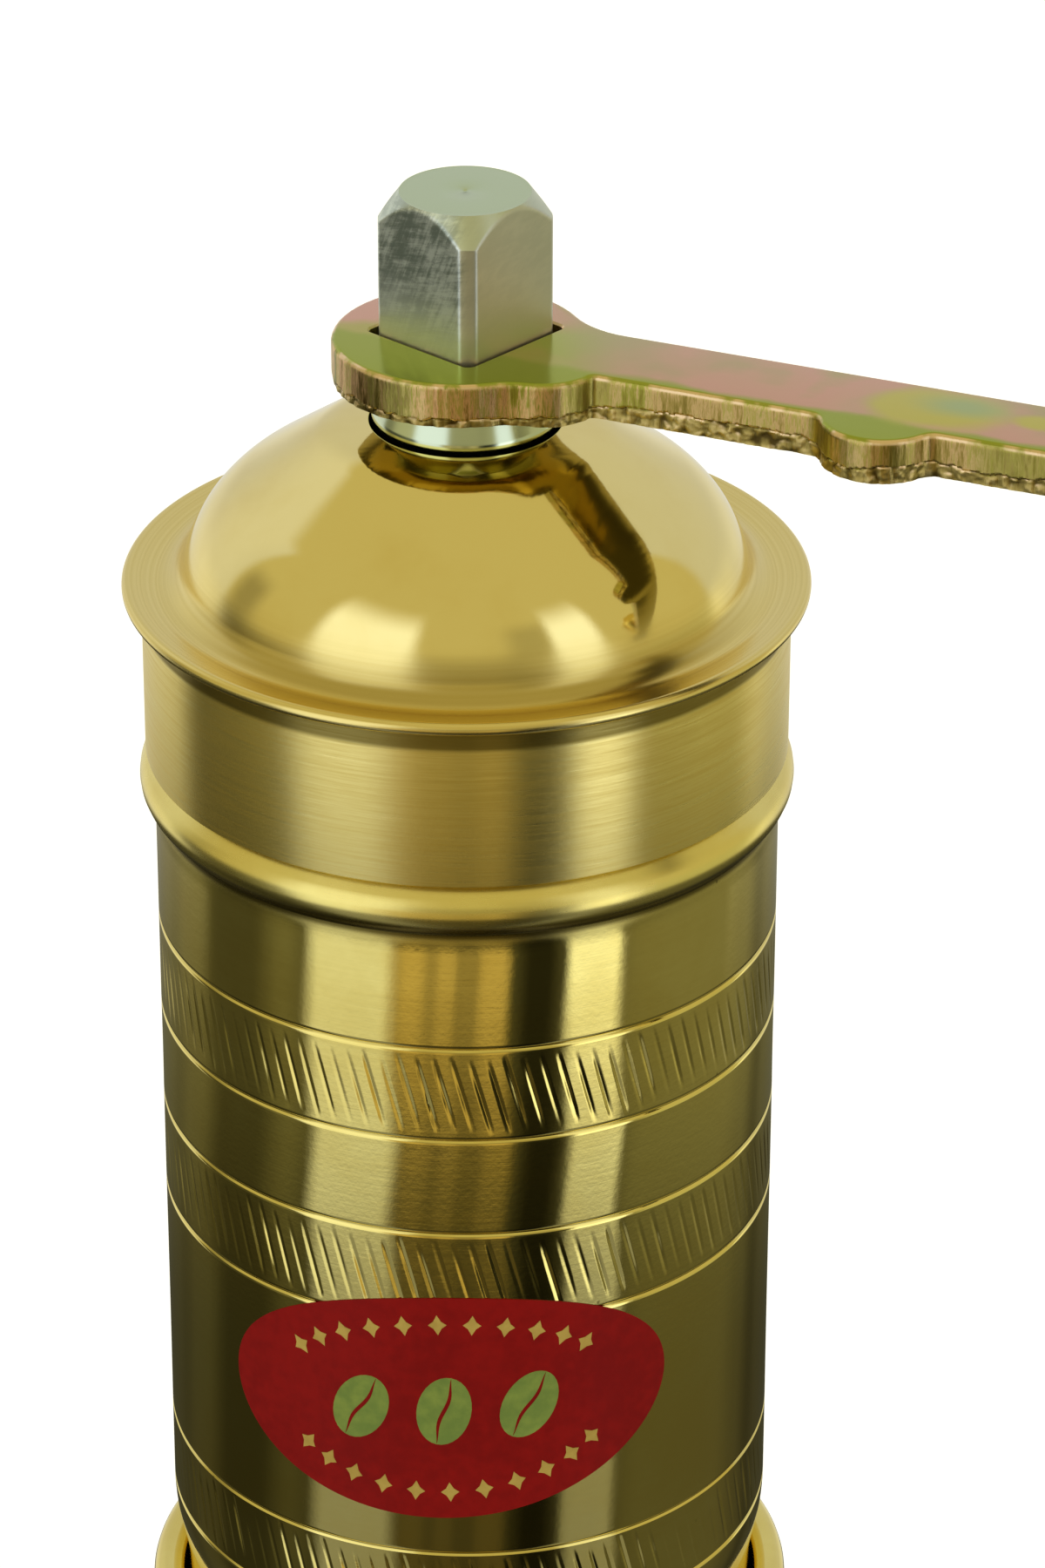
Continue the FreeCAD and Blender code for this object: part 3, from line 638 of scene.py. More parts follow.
def add_piece(name, verts, faces, body, slot, material, stands_for=(), crease=32.0, relief=None):
    """Mesh piece that rides on a body, smooth but for creases, standing for the CAD nodes named."""
    mesh = bpy.data.meshes.new(name)
    mesh.from_pydata(verts, [], faces)
    if relief:
        mesh.attributes.new("relief", "FLOAT", "POINT").data.foreach_set("value", relief)
    work = bmesh.new()
    work.from_mesh(mesh)
    bmesh.ops.remove_doubles(work, verts=work.verts, dist=WELD)
    bmesh.ops.recalc_face_normals(work, faces=work.faces)
    work.to_mesh(mesh)
    work.free()
    finish_mesh(mesh, material, crease)
    piece = add_object(name, mesh)
    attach(piece, body)
    if stands_for:
        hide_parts(*stands_for)


def grid_faces(rows, columns, closed_rows):
    """Quads of a grid that is closed around, and along the rows too where asked."""
    faces = []
    for row in range(rows if closed_rows else rows - 1):
        here = row * columns
        above = (row + 1) % rows * columns
        for column in range(columns):
            after = (column + 1) % columns
            faces.append((here + column, here + after, above + after, above + column))
    return faces


def turns(count):
    """Angles at even steps round a circle."""
    return [2 * pi * i / count for i in range(count)]


def lathe(profile, columns):
    """Turned form from a closed run of (r, z) points."""
    verts = [(r * sin(a), -r * cos(a), z) for r, z in profile for a in turns(columns)]
    return verts, grid_faces(len(profile), columns, True)


def toward(a, b):
    """Unit step from a to b."""
    length = hypot(b[0] - a[0], b[1] - a[1])
    return (b[0] - a[0]) / length, (b[1] - a[1]) / length


def rounded(points, steps=10):
    """Points (r, z) along a path of (r, z, corner radius), with each corner drawn as an arc."""
    path = [points[0][:2]]
    for before, corner, after in zip(points, points[1:], points[2:]):
        if corner[2] == 0:
            path.append(corner[:2])
            continue
        a = toward(corner, before)
        b = toward(corner, after)
        half = acos(max(-1.0, min(1.0, a[0] * b[0] + a[1] * b[1]))) / 2
        reach = corner[2] / tan(half)
        middle = toward((0, 0), (a[0] + b[0], a[1] + b[1]))
        centre = [corner[i] + middle[i] * corner[2] / sin(half) for i in (0, 1)]
        start = atan2(corner[1] + a[1] * reach - centre[1], corner[0] + a[0] * reach - centre[0])
        end = atan2(corner[1] + b[1] * reach - centre[1], corner[0] + b[0] * reach - centre[0])
        sweep = (end - start + pi) % (2 * pi) - pi
        for i in range(steps + 1):
            angle = start + sweep * i / steps
            path.append((centre[0] + corner[2] * cos(angle), centre[1] + corner[2] * sin(angle)))
    path.append(points[-1][:2])
    return path


def inside(points, wall):
    """The path moved to its left by the wall, with corner radii to match."""
    steps = [toward(a, b) for a, b in zip(points, points[1:])]
    moved = []
    for i, (r, z, radius) in enumerate(points):
        a = steps[max(i - 1, 0)]
        b = steps[min(i, len(steps) - 1)]
        scale = wall / (1 + a[0] * b[0] + a[1] * b[1])
        left_turn = a[0] * b[1] - a[1] * b[0] > 0
        kept = radius - wall if left_turn else radius + wall
        corner = max(kept, 0) if radius > 0 else 0
        moved.append((r - (a[1] + b[1]) * scale, z + (a[0] + b[0]) * scale, corner))
    return moved


def line_rows(z):
    """Heights and depths across one engraved line."""
    return [(z + place * LINE_HALF, depth * LINE_DEPTH, None) for place, depth in LINE_ROWS]


def stroke_rows(z):
    """Heights along the strokes of the band centred at z, with the share of the length they stand at."""
    return [(z + share * STROKE_LENGTH / 2, 0.0, share) for share in STROKE_ROWS]


def knurled(name, path, inner_path, wall_r, lines, seed, **piece):
    """Turned shell whose straight wall has engraved lines and bands of slanted strokes."""
    rng = random.Random(seed)
    low_path = [p for p in path if p[1] < lines[-1] - 2 * LINE_HALF]
    high_path = [p for p in path if p[1] > lines[0] + 2 * LINE_HALF]
    bands = [(a + b) / 2 for a, b in zip(lines[::2], lines[1::2])]
    wall = [row for z in lines for row in line_rows(z)] + [row for z in bands for row in stroke_rows(z)]
    wall.sort()
    rows = [(r, z, 0.0, None, None) for r, z in low_path]
    for z, depth, share in wall:
        band = min(range(len(bands)), key=lambda i: abs(bands[i] - z))
        rows.append((wall_r, z, depth, share, band))
    rows += [(r, z, 0.0, None, None) for r, z in high_path + inner_path]
    strokes = [[(rng.uniform(0.3, 1.25), rng.uniform(-0.15, 0.15)) for _ in range(STROKES)] for _ in bands]
    pitch = 2 * pi / STROKES
    lean = tan(radians(STROKE_SLANT)) / wall_r
    verts = []
    for r, z, depth, share, band in rows:
        for stroke in range(STROKES):
            for step in STROKE_STEPS:
                angle = (stroke + step) * pitch
                cut = depth
                if band is not None:
                    reach = max(-1.0, min(1.0, (z - bands[band]) / (STROKE_LENGTH / 2)))
                    angle -= lean * reach * STROKE_LENGTH / 2
                if share is not None:
                    deep, shift = strokes[band][stroke]
                    way = min(1.0, abs(share + shift))
                    width = max(STROKE_HALF * (1 - way ** 3), TINY)
                    across = abs(step) * pitch * wall_r
                    ragged = 1 + 0.5 * noise.noise(Vector((angle * wall_r, z, 0.0)) / STROKE_RAGGED)
                    cut += STROKE_DEPTH * deep * ragged * (1 - way ** 4) * max(0.0, 1 - across / width)
                reach_r = r - cut
                verts.append((reach_r * sin(angle), -reach_r * cos(angle), z))
    columns = STROKES * len(STROKE_STEPS)
    add_piece(name, verts, grid_faces(len(rows), columns, True), **piece)


def make_tube(material):
    """Tube with its swaged foot, bead and neck."""
    low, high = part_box("body_tube")
    crest = BEAD_OUT + BEAD_ROUND * (sqrt(2) - 1)
    outer = [(SPIGOT_R, low.z, 0), (SPIGOT_R, SWAGE_LOW, SWAGE_ROUND), (TUBE_R, SWAGE_HIGH, SWAGE_ROUND),
             (TUBE_R, BEAD_Z - 2 * crest, 0), (TUBE_R, BEAD_Z - crest, BEAD_FOOT),
             (TUBE_R + crest, BEAD_Z, BEAD_ROUND), (NECK_R, BEAD_Z + crest + TUBE_R - NECK_R, BEAD_FOOT),
             (NECK_R, high.z, 0)]
    inner = rounded(inside(outer, TUBE_WALL), 2)[::-1]
    knurled("tube_knurled", rounded(outer, 6), inner, TUBE_R, TUBE_LINES, TUBE_SEED, body="mill_body",
            slot="brass_body", material=material, stands_for=("body_tube",))


def make_cup(material):
    """Cup with its rolled rim and the groove that stops the tube."""
    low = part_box("cup_shell")[0]
    roll_r = CUP_R - CUP_WALL + CUP_RIM_ROUND
    join = CUP_RIM_Z - sqrt(CUP_RIM_ROUND ** 2 - (CUP_RIM_ROUND - CUP_WALL) ** 2)
    outer = [(CUP_R, low.z, 0), (CUP_R, CUP_STOP_Z - CUP_STOP_DENT, BEAD_FOOT),
             (CUP_R - CUP_STOP_DENT, CUP_STOP_Z, CUP_STOP_ROUND),
             (CUP_R, CUP_STOP_Z + CUP_STOP_DENT, BEAD_FOOT), (CUP_R, join, 0)]
    inner = inside(outer, CUP_WALL)
    inner[-1] = (CUP_R - CUP_WALL, CUP_RIM_Z, 0)
    start = -acos(CUP_WALL / CUP_RIM_ROUND - 1)
    roll = []
    for i in range(1, CUP_RIM_STEPS):
        angle = start + (pi - start) * i / CUP_RIM_STEPS
        roll.append((roll_r + CUP_RIM_ROUND * cos(angle), CUP_RIM_Z + CUP_RIM_ROUND * sin(angle)))
    roll += rounded(inner, 3)[::-1]
    knurled("cup_knurled", rounded(outer, 6), roll, CUP_R, CUP_LINES, CUP_SEED, body="cup",
            slot="brass_body", material=material, stands_for=("cup_shell",))


def make_dome(material):
    """Spun dome with its flared flange, rounded rim and sloped crown."""
    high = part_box("lid_dome")[1]
    z_flange = high.z - DOME_HEIGHT
    hole_r = COLLAR_R + HOLE_GAP
    outer = [(high.x - LID_WALL / 2, z_flange + FLANGE_RISE, 0), (FLARE_R, z_flange, FLARE_ROUND),
             (SHOULDER_R, high.z - SHOULDER_DROP, SHOULDER_ROUND),
             (hole_r + CROWN_LAND, high.z, CROWN_ROUND), (hole_r, high.z, 0)]
    inner = inside(outer, LID_WALL)
    crown = outer[:3] + [(hole_r + CROWN_LAND, high.z - CROWN_DROP, CROWN_ROUND),
                         (hole_r, high.z, HOLE_EDGE), (hole_r, high.z - LID_WALL / 2, 0)]
    slope = atan2(FLANGE_RISE, outer[0][0] - FLARE_R)
    middle = [(outer[0][i] + inner[0][i]) / 2 for i in (0, 1)]
    rim = []
    for i in range(1, RIM_STEPS):
        angle = slope - pi / 2 + pi * i / RIM_STEPS
        rim.append((middle[0] + LID_WALL / 2 * cos(angle), middle[1] + LID_WALL / 2 * sin(angle)))
    profile = rounded(crown, 24) + rounded(inner, 12)[::-1] + rim
    verts, faces = lathe(profile, LID_COLUMNS)
    add_piece("lid_spun", verts, faces, "lid", "brass_lid", material, ("lid_dome",))


def make_skirt(material):
    """Band under the lid's flange."""
    low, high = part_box("lid_skirt")
    r_in = high.x - BAND_WALL
    z_mid = (low.z + high.z) / 2
    profile = rounded([(r_in, z_mid, 0), (r_in, low.z, BAND_EDGE), (high.x, low.z, BAND_EDGE),
                       (high.x, high.z, BAND_EDGE), (r_in, high.z, BAND_EDGE), (r_in, z_mid, 0)], 4)
    verts, faces = lathe(profile[:-1], LID_COLUMNS)
    add_piece("lid_band", verts, faces, "lid", "brass_lid", material, ("lid_skirt",))


def square_reach(angle, z_drop):
    """Radius of the square head at an angle, with its corners and top turned down and its edges worn."""
    turn = radians(SQUARE_TURN + 45)
    local = (angle - turn + pi / 4) % (pi / 2) - pi / 4
    flat = SQUARE_FLATS / 2 / cos(local)
    share = max(0.0, 1 - z_drop / SQUARE_CHAMFER)
    round_r = SQUARE_CORNER_R + (SQUARE_TOP_R - SQUARE_CORNER_R) * share
    blend = max(0.0, min(1.0, 0.5 + (round_r - flat) / (2 * EDGE_WEAR)))
    return round_r + (flat - round_r) * blend - EDGE_WEAR * blend * (1 - blend)


def make_shaft(material):
    """Shaft with its bulged collar and the square head."""
    low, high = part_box("drive_shaft")
    z_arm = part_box("crank_arm")[0].z - ARM_SEAT
    z_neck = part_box("lid_dome")[1].z
    z_foot = z_arm - COLLAR_LENGTH
    belly_r = COLLAR_R + COLLAR_BELLY_OUT
    turned = rounded([(0.0, low.z, 0), (ROD_R, low.z, SHAFT_EDGE), (ROD_R, z_foot, SHAFT_EDGE),
                      (COLLAR_FOOT_R, z_foot, SHAFT_EDGE), (COLLAR_FOOT_R, z_neck - SHAFT_EDGE, 0),
                      (belly_r, z_neck + COLLAR_BELLY_Z, COLLAR_BELLY_ROUND), (COLLAR_TOP_R, z_arm, 0),
                      (ROD_R, z_arm, 0)], 10)[:-1]
    angles = turns(SHAFT_COLUMNS)
    rings = [([r] * SHAFT_COLUMNS, z) for r, z in turned]
    for row in range(SQUARE_ROWS + 1):
        z = z_arm + (high.z - z_arm) * row / SQUARE_ROWS
        rings.append(([square_reach(a, high.z - z) for a in angles], z))
    for share, drop in TOP_RINGS:
        rings.append(([SQUARE_TOP_R * share] * SHAFT_COLUMNS, high.z - drop))
    verts = [(r * cos(a), r * sin(a), z) for reach, z in rings for r, a in zip(reach, angles)]
    add_piece("shaft_squared", verts, grid_faces(len(rings), SHAFT_COLUMNS, False), "rotor", "shaft_steel",
              material, ("drive_shaft",))


def on_label(across, up, lift):
    """Point on the tube at a place on the label, across and up from its centre."""
    tilt = radians(LABEL_TILT)
    turn = radians(LABEL_AZIMUTH) + (across * cos(tilt) - up * sin(tilt)) / TUBE_R
    r = TUBE_R + lift
    return r * sin(turn), -r * cos(turn), LABEL_Z + across * sin(tilt) + up * cos(tilt)


def make_label(film):
    """Oval sticker that hugs the tube, tilted a little."""
    verts = []
    levels = [(i / LABEL_RINGS, LABEL_THICK) for i in range(LABEL_RINGS + 1)]
    levels += [(1.0, -LABEL_SINK), (0.0, -LABEL_SINK)]
    for share, lift in levels:
        for angle in turns(LABEL_COLUMNS):
            across = share * LABEL_HALF_WIDTH * cos(angle)
            up = share * LABEL_HALF_HEIGHT * sin(angle)
            verts.append(on_label(across, up, lift))
    faces = grid_faces(len(levels), LABEL_COLUMNS, False)
    add_piece("label_film", verts, faces, "mill_body", "label_film", film)


def printed_shape(outline):
    """Raised patch of ink from an outline about its centre: its points, and faces numbered from nought."""
    count = len(outline)
    middle = [sum(p[i] for p in outline) / count for i in (0, 1)]
    verts = []
    for share, height in INK_RINGS:
        lift = LABEL_THICK + INK_THICK * height
        for point in outline:
            across, up = [middle[i] + (point[i] - middle[i]) * share for i in (0, 1)]
            verts.append(on_label(across, up, lift))
    return verts, grid_faces(len(INK_RINGS), count, False)


def bean_halves(across, up, turn):
    """Outlines of the two halves of a coffee bean, parted by a curved slit."""
    halves = []
    for side in (-1, 1):
        outline = []
        for i in range(BEAN_POINTS + 1):
            angle = pi * i / BEAN_POINTS
            outline.append((side * BEAN_HALF_WIDTH * sin(angle), BEAN_HALF_HEIGHT * cos(angle)))
        for i in range(1, BEAN_POINTS):
            y = -1 + 2 * i / BEAN_POINTS
            slit = BEAN_SLIT * (side + 1.6 * sin(pi * y)) * (1 - y * y)
            outline.append((slit, BEAN_HALF_HEIGHT * y))
        halves.append([(across + x * cos(turn) - y * sin(turn),
                        up + x * sin(turn) + y * cos(turn)) for x, y in outline])
    return halves


def make_print(name, outlines, material):
    """Piece of ink from outlines on the label."""
    verts = []
    faces = []
    for outline in outlines:
        points, quads = printed_shape(outline)
        faces += [tuple(len(verts) + i for i in quad) for quad in quads]
        verts += points
    add_piece(name, verts, faces, "mill_body", "label_film", material)


def make_motif(gold, green):
    """Three beans in a row between two arcs of lozenges."""
    beans = []
    for i, turn in enumerate(BEAN_TURNS):
        beans += bean_halves((i - 1) * BEAN_STEP, -BEAN_DROP, turn)
    lozenges = []
    for side in (-1, 1):
        for i in range(LOZENGES):
            angle = radians(90 * side) + radians(LOZENGE_STEP) * (i - (LOZENGES - 1) / 2)
            across = LOZENGE_OVAL * LABEL_HALF_WIDTH * cos(angle)
            up = LOZENGE_OVAL * LABEL_HALF_HEIGHT * sin(angle)
            lean = atan2(up / LABEL_HALF_HEIGHT ** 2, across / LABEL_HALF_WIDTH ** 2)
            corners = []
            for k in range(8):
                reach = LOZENGE_HALF * ((1.0, 0.62)[k % 2] if k % 4 else 1.25)
                corners.append((across + reach * cos(lean + k * pi / 4),
                                up + reach * sin(lean + k * pi / 4)))
            lozenges.append(corners)
    make_print("label_beans", beans, green)
    make_print("label_lozenges", lozenges, gold)


def plate_loops(name, step):
    """Outlines of a plate's lower face, longest first, as even runs of points (x, y)."""
    work = bmesh.new()
    work.from_mesh(nodes[name].data)
    bmesh.ops.remove_doubles(work, verts=work.verts, dist=TINY)
    z_low = min(v.co.z for v in work.verts)
    flat = {f for f in work.faces if max(v.co.z for v in f.verts) - z_low < TINY}
    links = {}
    for edge in work.edges:
        if sum(f in flat for f in edge.link_faces) == 1:
            a, b = edge.verts
            links.setdefault(a, []).append(b)
            links.setdefault(b, []).append(a)
    loops = []
    while links:
        start = min(links, key=lambda v: (v.co.x, v.co.y))
        loop = [start]
        while True:
            onward = [v for v in links.pop(loop[-1]) if v in links]
            if not onward:
                break
            loop.append(onward[0])
        loops.append(even_run([v.co.to_2d() for v in loop], step))
    work.free()
    return sorted(loops, key=len, reverse=True)


def even_run(points, step):
    """Closed run of points at even steps, anticlockwise."""
    area = sum(a.x * b.y - b.x * a.y for a, b in zip(points, points[1:] + points[:1]))
    if area < 0:
        points = points[::-1]
    lengths = [(b - a).length for a, b in zip(points, points[1:] + points[:1])]
    count = max(24, round(sum(lengths) / step))
    run = []
    edge = 0
    done = 0.0
    for i in range(count):
        target = sum(lengths) * i / count
        while done + lengths[edge] < target:
            done += lengths[edge]
            edge += 1
        share = (target - done) / lengths[edge]
        run.append(points[edge].lerp(points[(edge + 1) % len(points)], share))
    return run


def outward_normals(run):
    """Unit normals that point to the right of an anticlockwise run."""
    normals = []
    for before, after in zip(run[-1:] + run[:-1], run[1:] + run[:1]):
        way = (after - before).normalized()
        normals.append(Vector((way.y, -way.x)))
    return normals


def side_rows(height):
    """Rows up the sheared side as (height, inset): the wall, then the rolled upper edge."""
    wall = height - ARM_EDGE
    steps = ceil(wall / TORN_ROW)
    rows = [(0.0, ARM_FOOT)] + [(wall * i / steps, 0.0) for i in range(1, steps)]
    for i in range(ARM_EDGE_STEPS + 1):
        angle = pi / 2 * i / ARM_EDGE_STEPS
        rows.append((height - ARM_EDGE * (1 - sin(angle)), ARM_EDGE * (1 - cos(angle))))
    return rows


def torn(point, z, height):
    """Depth of the break at a place on the side, and its relief: nought in a crevice, one on the wall."""
    spot = Vector((point.x, point.y, 0.0))
    past_eye = max(0.0, min(1.0, point.x / EYE_R - 1))
    share = EYE_TORN_SHARE + (TORN_SHARE - EYE_TORN_SHARE) * past_eye
    edge = share * height * (1 + 0.35 * noise.noise(spot / (7 * MM)))
    edge += 0.25 * MM * noise.noise(spot / (1.1 * MM)) + 0.1 * MM * noise.noise(spot / (0.4 * MM))
    over = (z - edge) / TORN_LIP
    if over > 0:
        healed = min(1.0, over)
        return TORN_DEPTH * (1 - healed), healed
    place = Vector((point.x, point.y, z))
    reach = noise.voronoi(place / GRAIN + 0.5 * noise.noise_vector(place / (0.9 * MM)))[0]
    grain = max(0.0, 1 - (reach[0] / 0.85) ** 2) * min(1.0, -over)
    grain *= 0.8 + 0.35 * noise.noise(place / (0.3 * MM))
    return TORN_DEPTH * (1 - 0.8 * grain), 0.6 * grain


def make_arm(material):
    """Blanked plate: torn and streaked at its sheared side, rolled over at its upper edge."""
    noise.seed_set(GRAIN_SEED)
    low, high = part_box("crank_arm")
    outline, *holes = plate_loops("crank_arm", ARM_STEP)
    normals = outward_normals(outline)
    height = high.z - low.z
    rows = side_rows(height)
    verts = []
    relief = []
    for z, inset in rows:
        for point, normal in zip(outline, normals):
            depth, share = torn(point, z, height)
            streak = STREAK * (noise.noise(Vector((point.x, point.y, 0.0)) / (0.35 * MM)) - 1)
            spot = point + normal * (streak - depth - inset)
            verts.append((spot.x, spot.y, low.z + z))
            relief.append(share)
    count = len(outline)
    faces = grid_faces(len(rows), count, False)
    caps = [list(range(count))], [list(range(len(verts) - count, len(verts)))]
    bore = ((low.z, EYE_EDGE_LOW), (low.z + EYE_EDGE_LOW, 0.0), (high.z - EYE_EDGE_HIGH, 0.0),
            (high.z, EYE_EDGE_HIGH))
    for hole in holes:
        first = len(verts)
        inner = outward_normals(hole)
        for z, inset in bore:
            verts += [(p.x + n.x * inset, p.y + n.y * inset, z) for p, n in zip(hole, inner)]
        faces += [tuple(first + i for i in face) for face in grid_faces(len(bore), len(hole), False)]
        caps[0].append(list(range(first, first + len(hole))))
        caps[1].append(list(range(len(verts) - len(hole), len(verts))))
    for cap in caps:
        faces += filled(verts, cap)
    relief += [1.0] * (len(verts) - len(relief))
    add_piece("arm_blanked", verts, faces, "crank", "chromate_steel", material, ("crank_arm",), 40.0,
              relief)


def filled(verts, loops):
    """Triangles of the flat region between an outline and its holes."""
    work = bmesh.new()
    numbers = {}
    edges = []
    for loop in loops:
        ring = [work.verts.new(verts[i]) for i in loop]
        numbers.update(zip(ring, loop))
        edges += [work.edges.new(pair) for pair in zip(ring, ring[1:] + ring[:1])]
    bmesh.ops.triangle_fill(work, edges=edges, use_beauty=True)
    faces = [tuple(numbers[v] for v in face.verts) for face in work.faces]
    work.free()
    return faces


def make_knob(material):
    """Turned grip with a base ring, a waist, a belly with two grooves, and a sunk top."""
    low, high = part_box("crank_knob")
    centre = (low + high) / 2
    tall = high.z - low.z
    outer = [(KNOB_BORE, 0.0, 0), (KNOB_BASE_R, 0.0, KNOB_BASE_ROUND),
             (KNOB_BASE_R, 2.4 * MM, KNOB_BASE_ROUND), (4.9 * MM, 4.6 * MM, 2.0 * MM),
             (10.0 * MM, 15.5 * MM, 7.0 * MM), (KNOB_SINK_R + 1.6 * MM, tall, 0.8 * MM),
             (KNOB_SINK_R, tall, KNOB_EDGE), (KNOB_SINK_R, tall - KNOB_SINK, KNOB_EDGE),
             (KNOB_BORE, tall - KNOB_SINK, 0)]
    corners = rounded(outer, 20)
    path = []
    for a, b in zip(corners, corners[1:]):
        pieces = max(1, ceil(dist(a, b) / KNOB_STEP))
        for i in range(pieces):
            path.append((a[0] + (b[0] - a[0]) * i / pieces, a[1] + (b[1] - a[1]) * i / pieces))
    path.append(outer[-1][:2])
    profile = []
    for r, z in path:
        cut = sum(max(0.0, 1 - abs(z - groove) / GROOVE_HALF) for groove in KNOB_GROOVES)
        profile.append((r - GROOVE_DEPTH * cut if r > KNOB_BASE_R - 0.1 * MM else r, z))
    verts, faces = lathe(profile, KNOB_COLUMNS)
    verts = [(x + centre.x, y + centre.y, z + low.z) for x, y, z in verts]
    add_piece("knob_turned", verts, faces, "knob", "knob_brass", material, ("crank_knob",))


def make_stem(material):
    """Adjuster stem with its screw thread."""
    low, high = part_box("adjust_stem")
    tall = high.z - low.z
    rows = round(tall / THREAD_PITCH * THREAD_ROWS)
    verts = [(0.0, 0.0, low.z)] * STEM_COLUMNS
    for row in range(rows + 1):
        z = tall * row / rows
        taper = STEM_TAPER * max(0.0, 1 - z / STEM_TAPER_LENGTH, 1 - (tall - z) / STEM_TAPER_LENGTH)
        for angle in turns(STEM_COLUMNS):
            phase = (z / THREAD_PITCH - angle / (2 * pi)) % 1.0
            r = high.x - taper - THREAD_DEPTH * (1 - abs(2 * phase - 1))
            verts.append((r * cos(angle), r * sin(angle), low.z + z))
    verts += [(0.0, 0.0, high.z)] * STEM_COLUMNS
    add_piece("stem_threaded", verts, grid_faces(rows + 3, STEM_COLUMNS, False), "adjuster", "zinc_steel",
              material, ("adjust_stem",))


def make_spring(material):
    """Burr spring as wound in CAD."""
    mesh = nodes["burr_spring"].data.copy()
    finish_mesh(mesh, material)
    piece = add_object("spring_wound", mesh)
    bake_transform(piece)
    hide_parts("burr_spring")


def strip(around, direction, half, soft):
    """One within a half width of a direction in degrees, falling off softly."""
    offset = calc("WRAP", minus(around, radians(direction)), pi, -pi)
    edge = calc("ABSOLUTE", offset)
    return ramp(edge, radians(half + soft), radians(max(half - soft, 0)))


def glow(around, *strips):
    """Sum of strips of light."""
    parts = [times(strip(around, *shape), strength) for *shape, strength in strips]
    return plus(*parts)


def tinted(*lights):
    """Sum of strengths of light, each with its tint."""
    total = (0.0, 0.0, 0.0)
    for strength, tint in lights:
        scaled = node("VectorMath", {0: tint, "Scale": strength}, operation="SCALE")
        total = vector("ADD", total, scaled.outputs[0])[0]
    return total


def studio_world():
    """Soft studio: two tall windows before the object, a pale backdrop, and dark flags below."""
    world = bpy.data.worlds.new("studio")
    scene.world = world
    world.use_nodes = True
    background = world.node_tree.nodes["Background"]
    way = source(background, "TexCoord").outputs["Generated"]
    parts = node("SeparateXYZ", {0: way}).outputs
    around = calc("ARCTAN2", parts["X"], times(parts["Y"], -1.0))
    around = minus(around, radians(CAMERA_AZIMUTH))
    height = times(calc("ARCSINE", parts["Z"]), 180 / pi)
    above = ramp(height, -9, 6)
    below = minus(1.0, above)
    back = times(strip(around, 180, 68, 3), ramp(height, -30, -22),
                 ramp(height, 47, 40))
    backdrop = times(back, plus(0.63, glow(around, BACKDROP_GLOW)))
    panes = times(glow(around, *PANES), ramp(height, 54, 33))
    right_pane = times(glow(around, LOW_RIGHT_PANE), ramp(height, -31.2, -28.6, 0.62, 1.0))
    low_panes = times(plus(glow(around, LOW_LEFT_PANE), right_pane),
                      ramp(height, -33.2, -29.4, 0.33, 1.0), ramp(height, -28.5, -25, 1.0, 1.3),
                      below)
    windows = plus(low_panes, times(panes, above, 1.12))
    walls = 0.575
    for shape, fade, strength in SHADES:
        shade = times(strip(around, *shape), ramp(height, *fade, 0.0, strength))
        walls = minus(walls, shade)
    walls = times(walls, above, minus(1.0, back), minus(1.0, panes))
    amber = times(glow(around, *AMBER), ramp(height, -31.35, -29.4, 0.10, 1.0), below)
    dim = times(plus(glow(around, *DIM), 0.07),
                ramp(height, -32.7, -29.2, 0.4, 1.0), below)
    side = times(strip(around, 90, 28, 8), ramp(height, -28.5, -24, 0.03, 0.36), below)
    light = tinted((windows, WINDOW_TINT), (backdrop, BACKDROP_TINT), (walls, WALL_TINT),
                   (amber, AMBER_TINT), (plus(dim, side), DIM_TINT))
    seen = source(background, "LightPath").outputs["Is Camera Ray"]
    wire_up(background, Color=mix(seen, light, (1, 1, 1)))


def studio_floor():
    """Plain pale floor, lit from below as a light table is."""
    corners = [(x * FLOOR_HALF, y * FLOOR_HALF, 0) for x, y in ((-1, -1), (1, -1), (1, 1), (-1, 1))]
    mesh = bpy.data.meshes.new("floor")
    mesh.from_pydata(corners, [], [(0, 1, 2, 3)])
    floor = add_object("floor", mesh)
    made, shader, place = new_material("floor_paint", 0.0)
    tone = cloud(place, 4.0)
    wire_up(shader, Base_Color=mix(tone, (0.86, 0.86, 0.85), (0.90, 0.90, 0.89)))
    shader.inputs["Roughness"].default_value = 0.8
    shader.inputs["Emission Color"].default_value = (1, 1, 1, 1)
    shader.inputs["Emission Strength"].default_value = FLOOR_GLOW
    mesh.materials.append(made)
    floor.visible_glossy = False


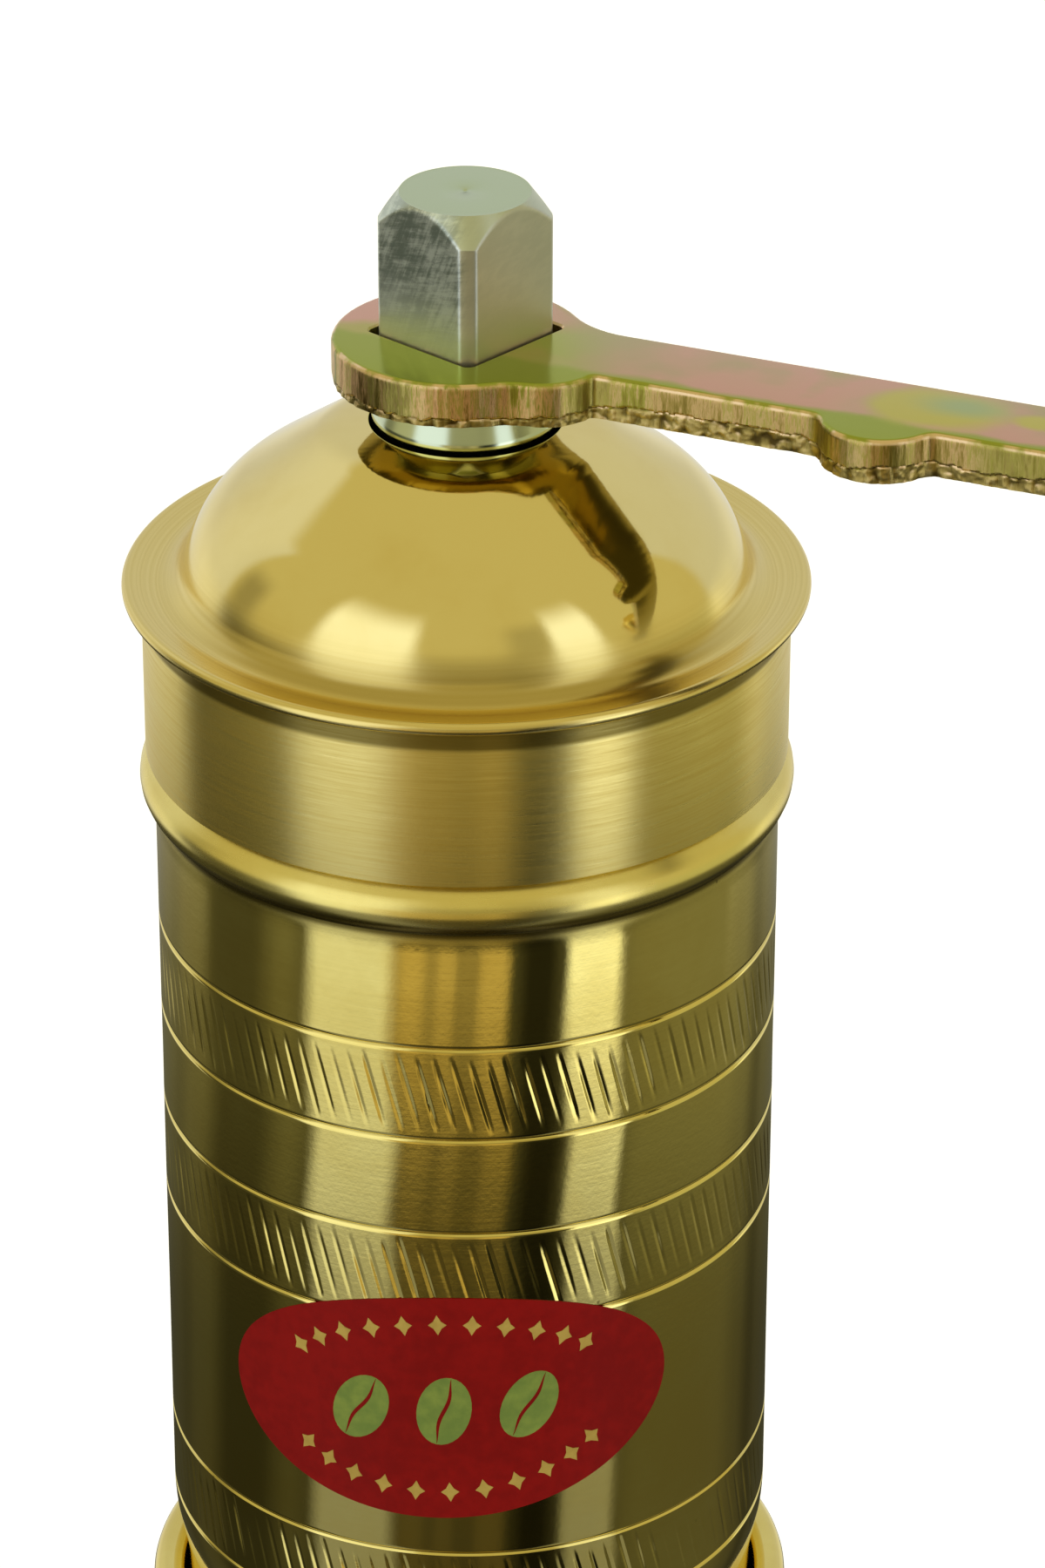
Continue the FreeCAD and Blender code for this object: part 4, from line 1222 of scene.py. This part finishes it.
def photo_camera():
    """Camera at the photograph's place and angle."""
    data = bpy.data.cameras.new("photo_camera")
    data.lens = CAMERA_LENS
    data.shift_x = CAMERA_SHIFT
    data.clip_start = 0.01
    camera = add_object("photo_camera", data)
    azimuth = radians(CAMERA_AZIMUTH)
    pitch = radians(CAMERA_PITCH)
    camera.location = (CAMERA_REACH * sin(azimuth), -CAMERA_REACH * cos(azimuth), CAMERA_HEIGHT)
    turn = Matrix.Rotation(azimuth, 3, "Z") @ Matrix.Rotation(pi / 2 - pitch, 3, "X")
    turn = turn @ Matrix.Rotation(radians(CAMERA_ROLL), 3, "Z")
    camera.rotation_euler = turn.to_euler()
    scene.camera = camera


scene.view_settings.view_transform = "Standard"
studio_world()
studio_floor()
photo_camera()

body_brass = brass("body_brass", (0.90, 0.76, 0.24), (0.80, 0.64, 0.17), 0.05, gloss=0.05,
                   peel=0.10, matte_z=BEAD_Z)
band_brass = brushed_brass()
lid_brass = spun_brass()
shaft_steel = plated_shaft()
zinc_steel = steel("zinc_steel", (0.64, 0.66, 0.64), (0.40, 0.41, 0.40), 0.28, 0.0, 0.3)
spring_steel = steel("spring_steel", (0.40, 0.40, 0.41), (0.24, 0.24, 0.25), 0.25, 20.0, 0.2)
bearing_brass = brass("bearing_brass", (0.80, 0.64, 0.24), (0.58, 0.42, 0.14), 0.2, gloss=0.28)
knob_brass = brass("knob_brass", (0.90, 0.75, 0.30), (0.76, 0.60, 0.20), 0.15, gloss=0.16)
plate = chromate()
iron = cast_iron()
film = printed("label_red", (0.22, 0.0035, 0.0025), (0.17, 0.0025, 0.002))
gold_ink = printed("label_gold", (0.42, 0.30, 0.07), (0.34, 0.23, 0.05))
green_ink = printed("label_green", (0.20, 0.26, 0.05), (0.13, 0.19, 0.04))

make_tube(body_brass)
make_cup(body_brass)
make_dome(lid_brass)
make_skirt(band_brass)
make_shaft(shaft_steel)
make_label(film)
make_motif(gold_ink, green_ink)
make_arm(plate)
make_knob(knob_brass)
make_stem(zinc_steel)
make_spring(spring_steel)

finishes = {
    "cup_base": body_brass, "upper_bridge": zinc_steel, "guide_bush": bearing_brass, "ring_burr": iron,
    "lower_bridge": zinc_steel, "bridge_screws": zinc_steel, "thrust_ball": spring_steel,
    "adjust_star": bearing_brass, "cone_burr": iron, "burr_pin": spring_steel,
    "spring_washer": zinc_steel, "knob_pin": zinc_steel, "knob_washer": zinc_steel,
}
for name, material in finishes.items():
    finish_mesh(nodes[name].data, material)
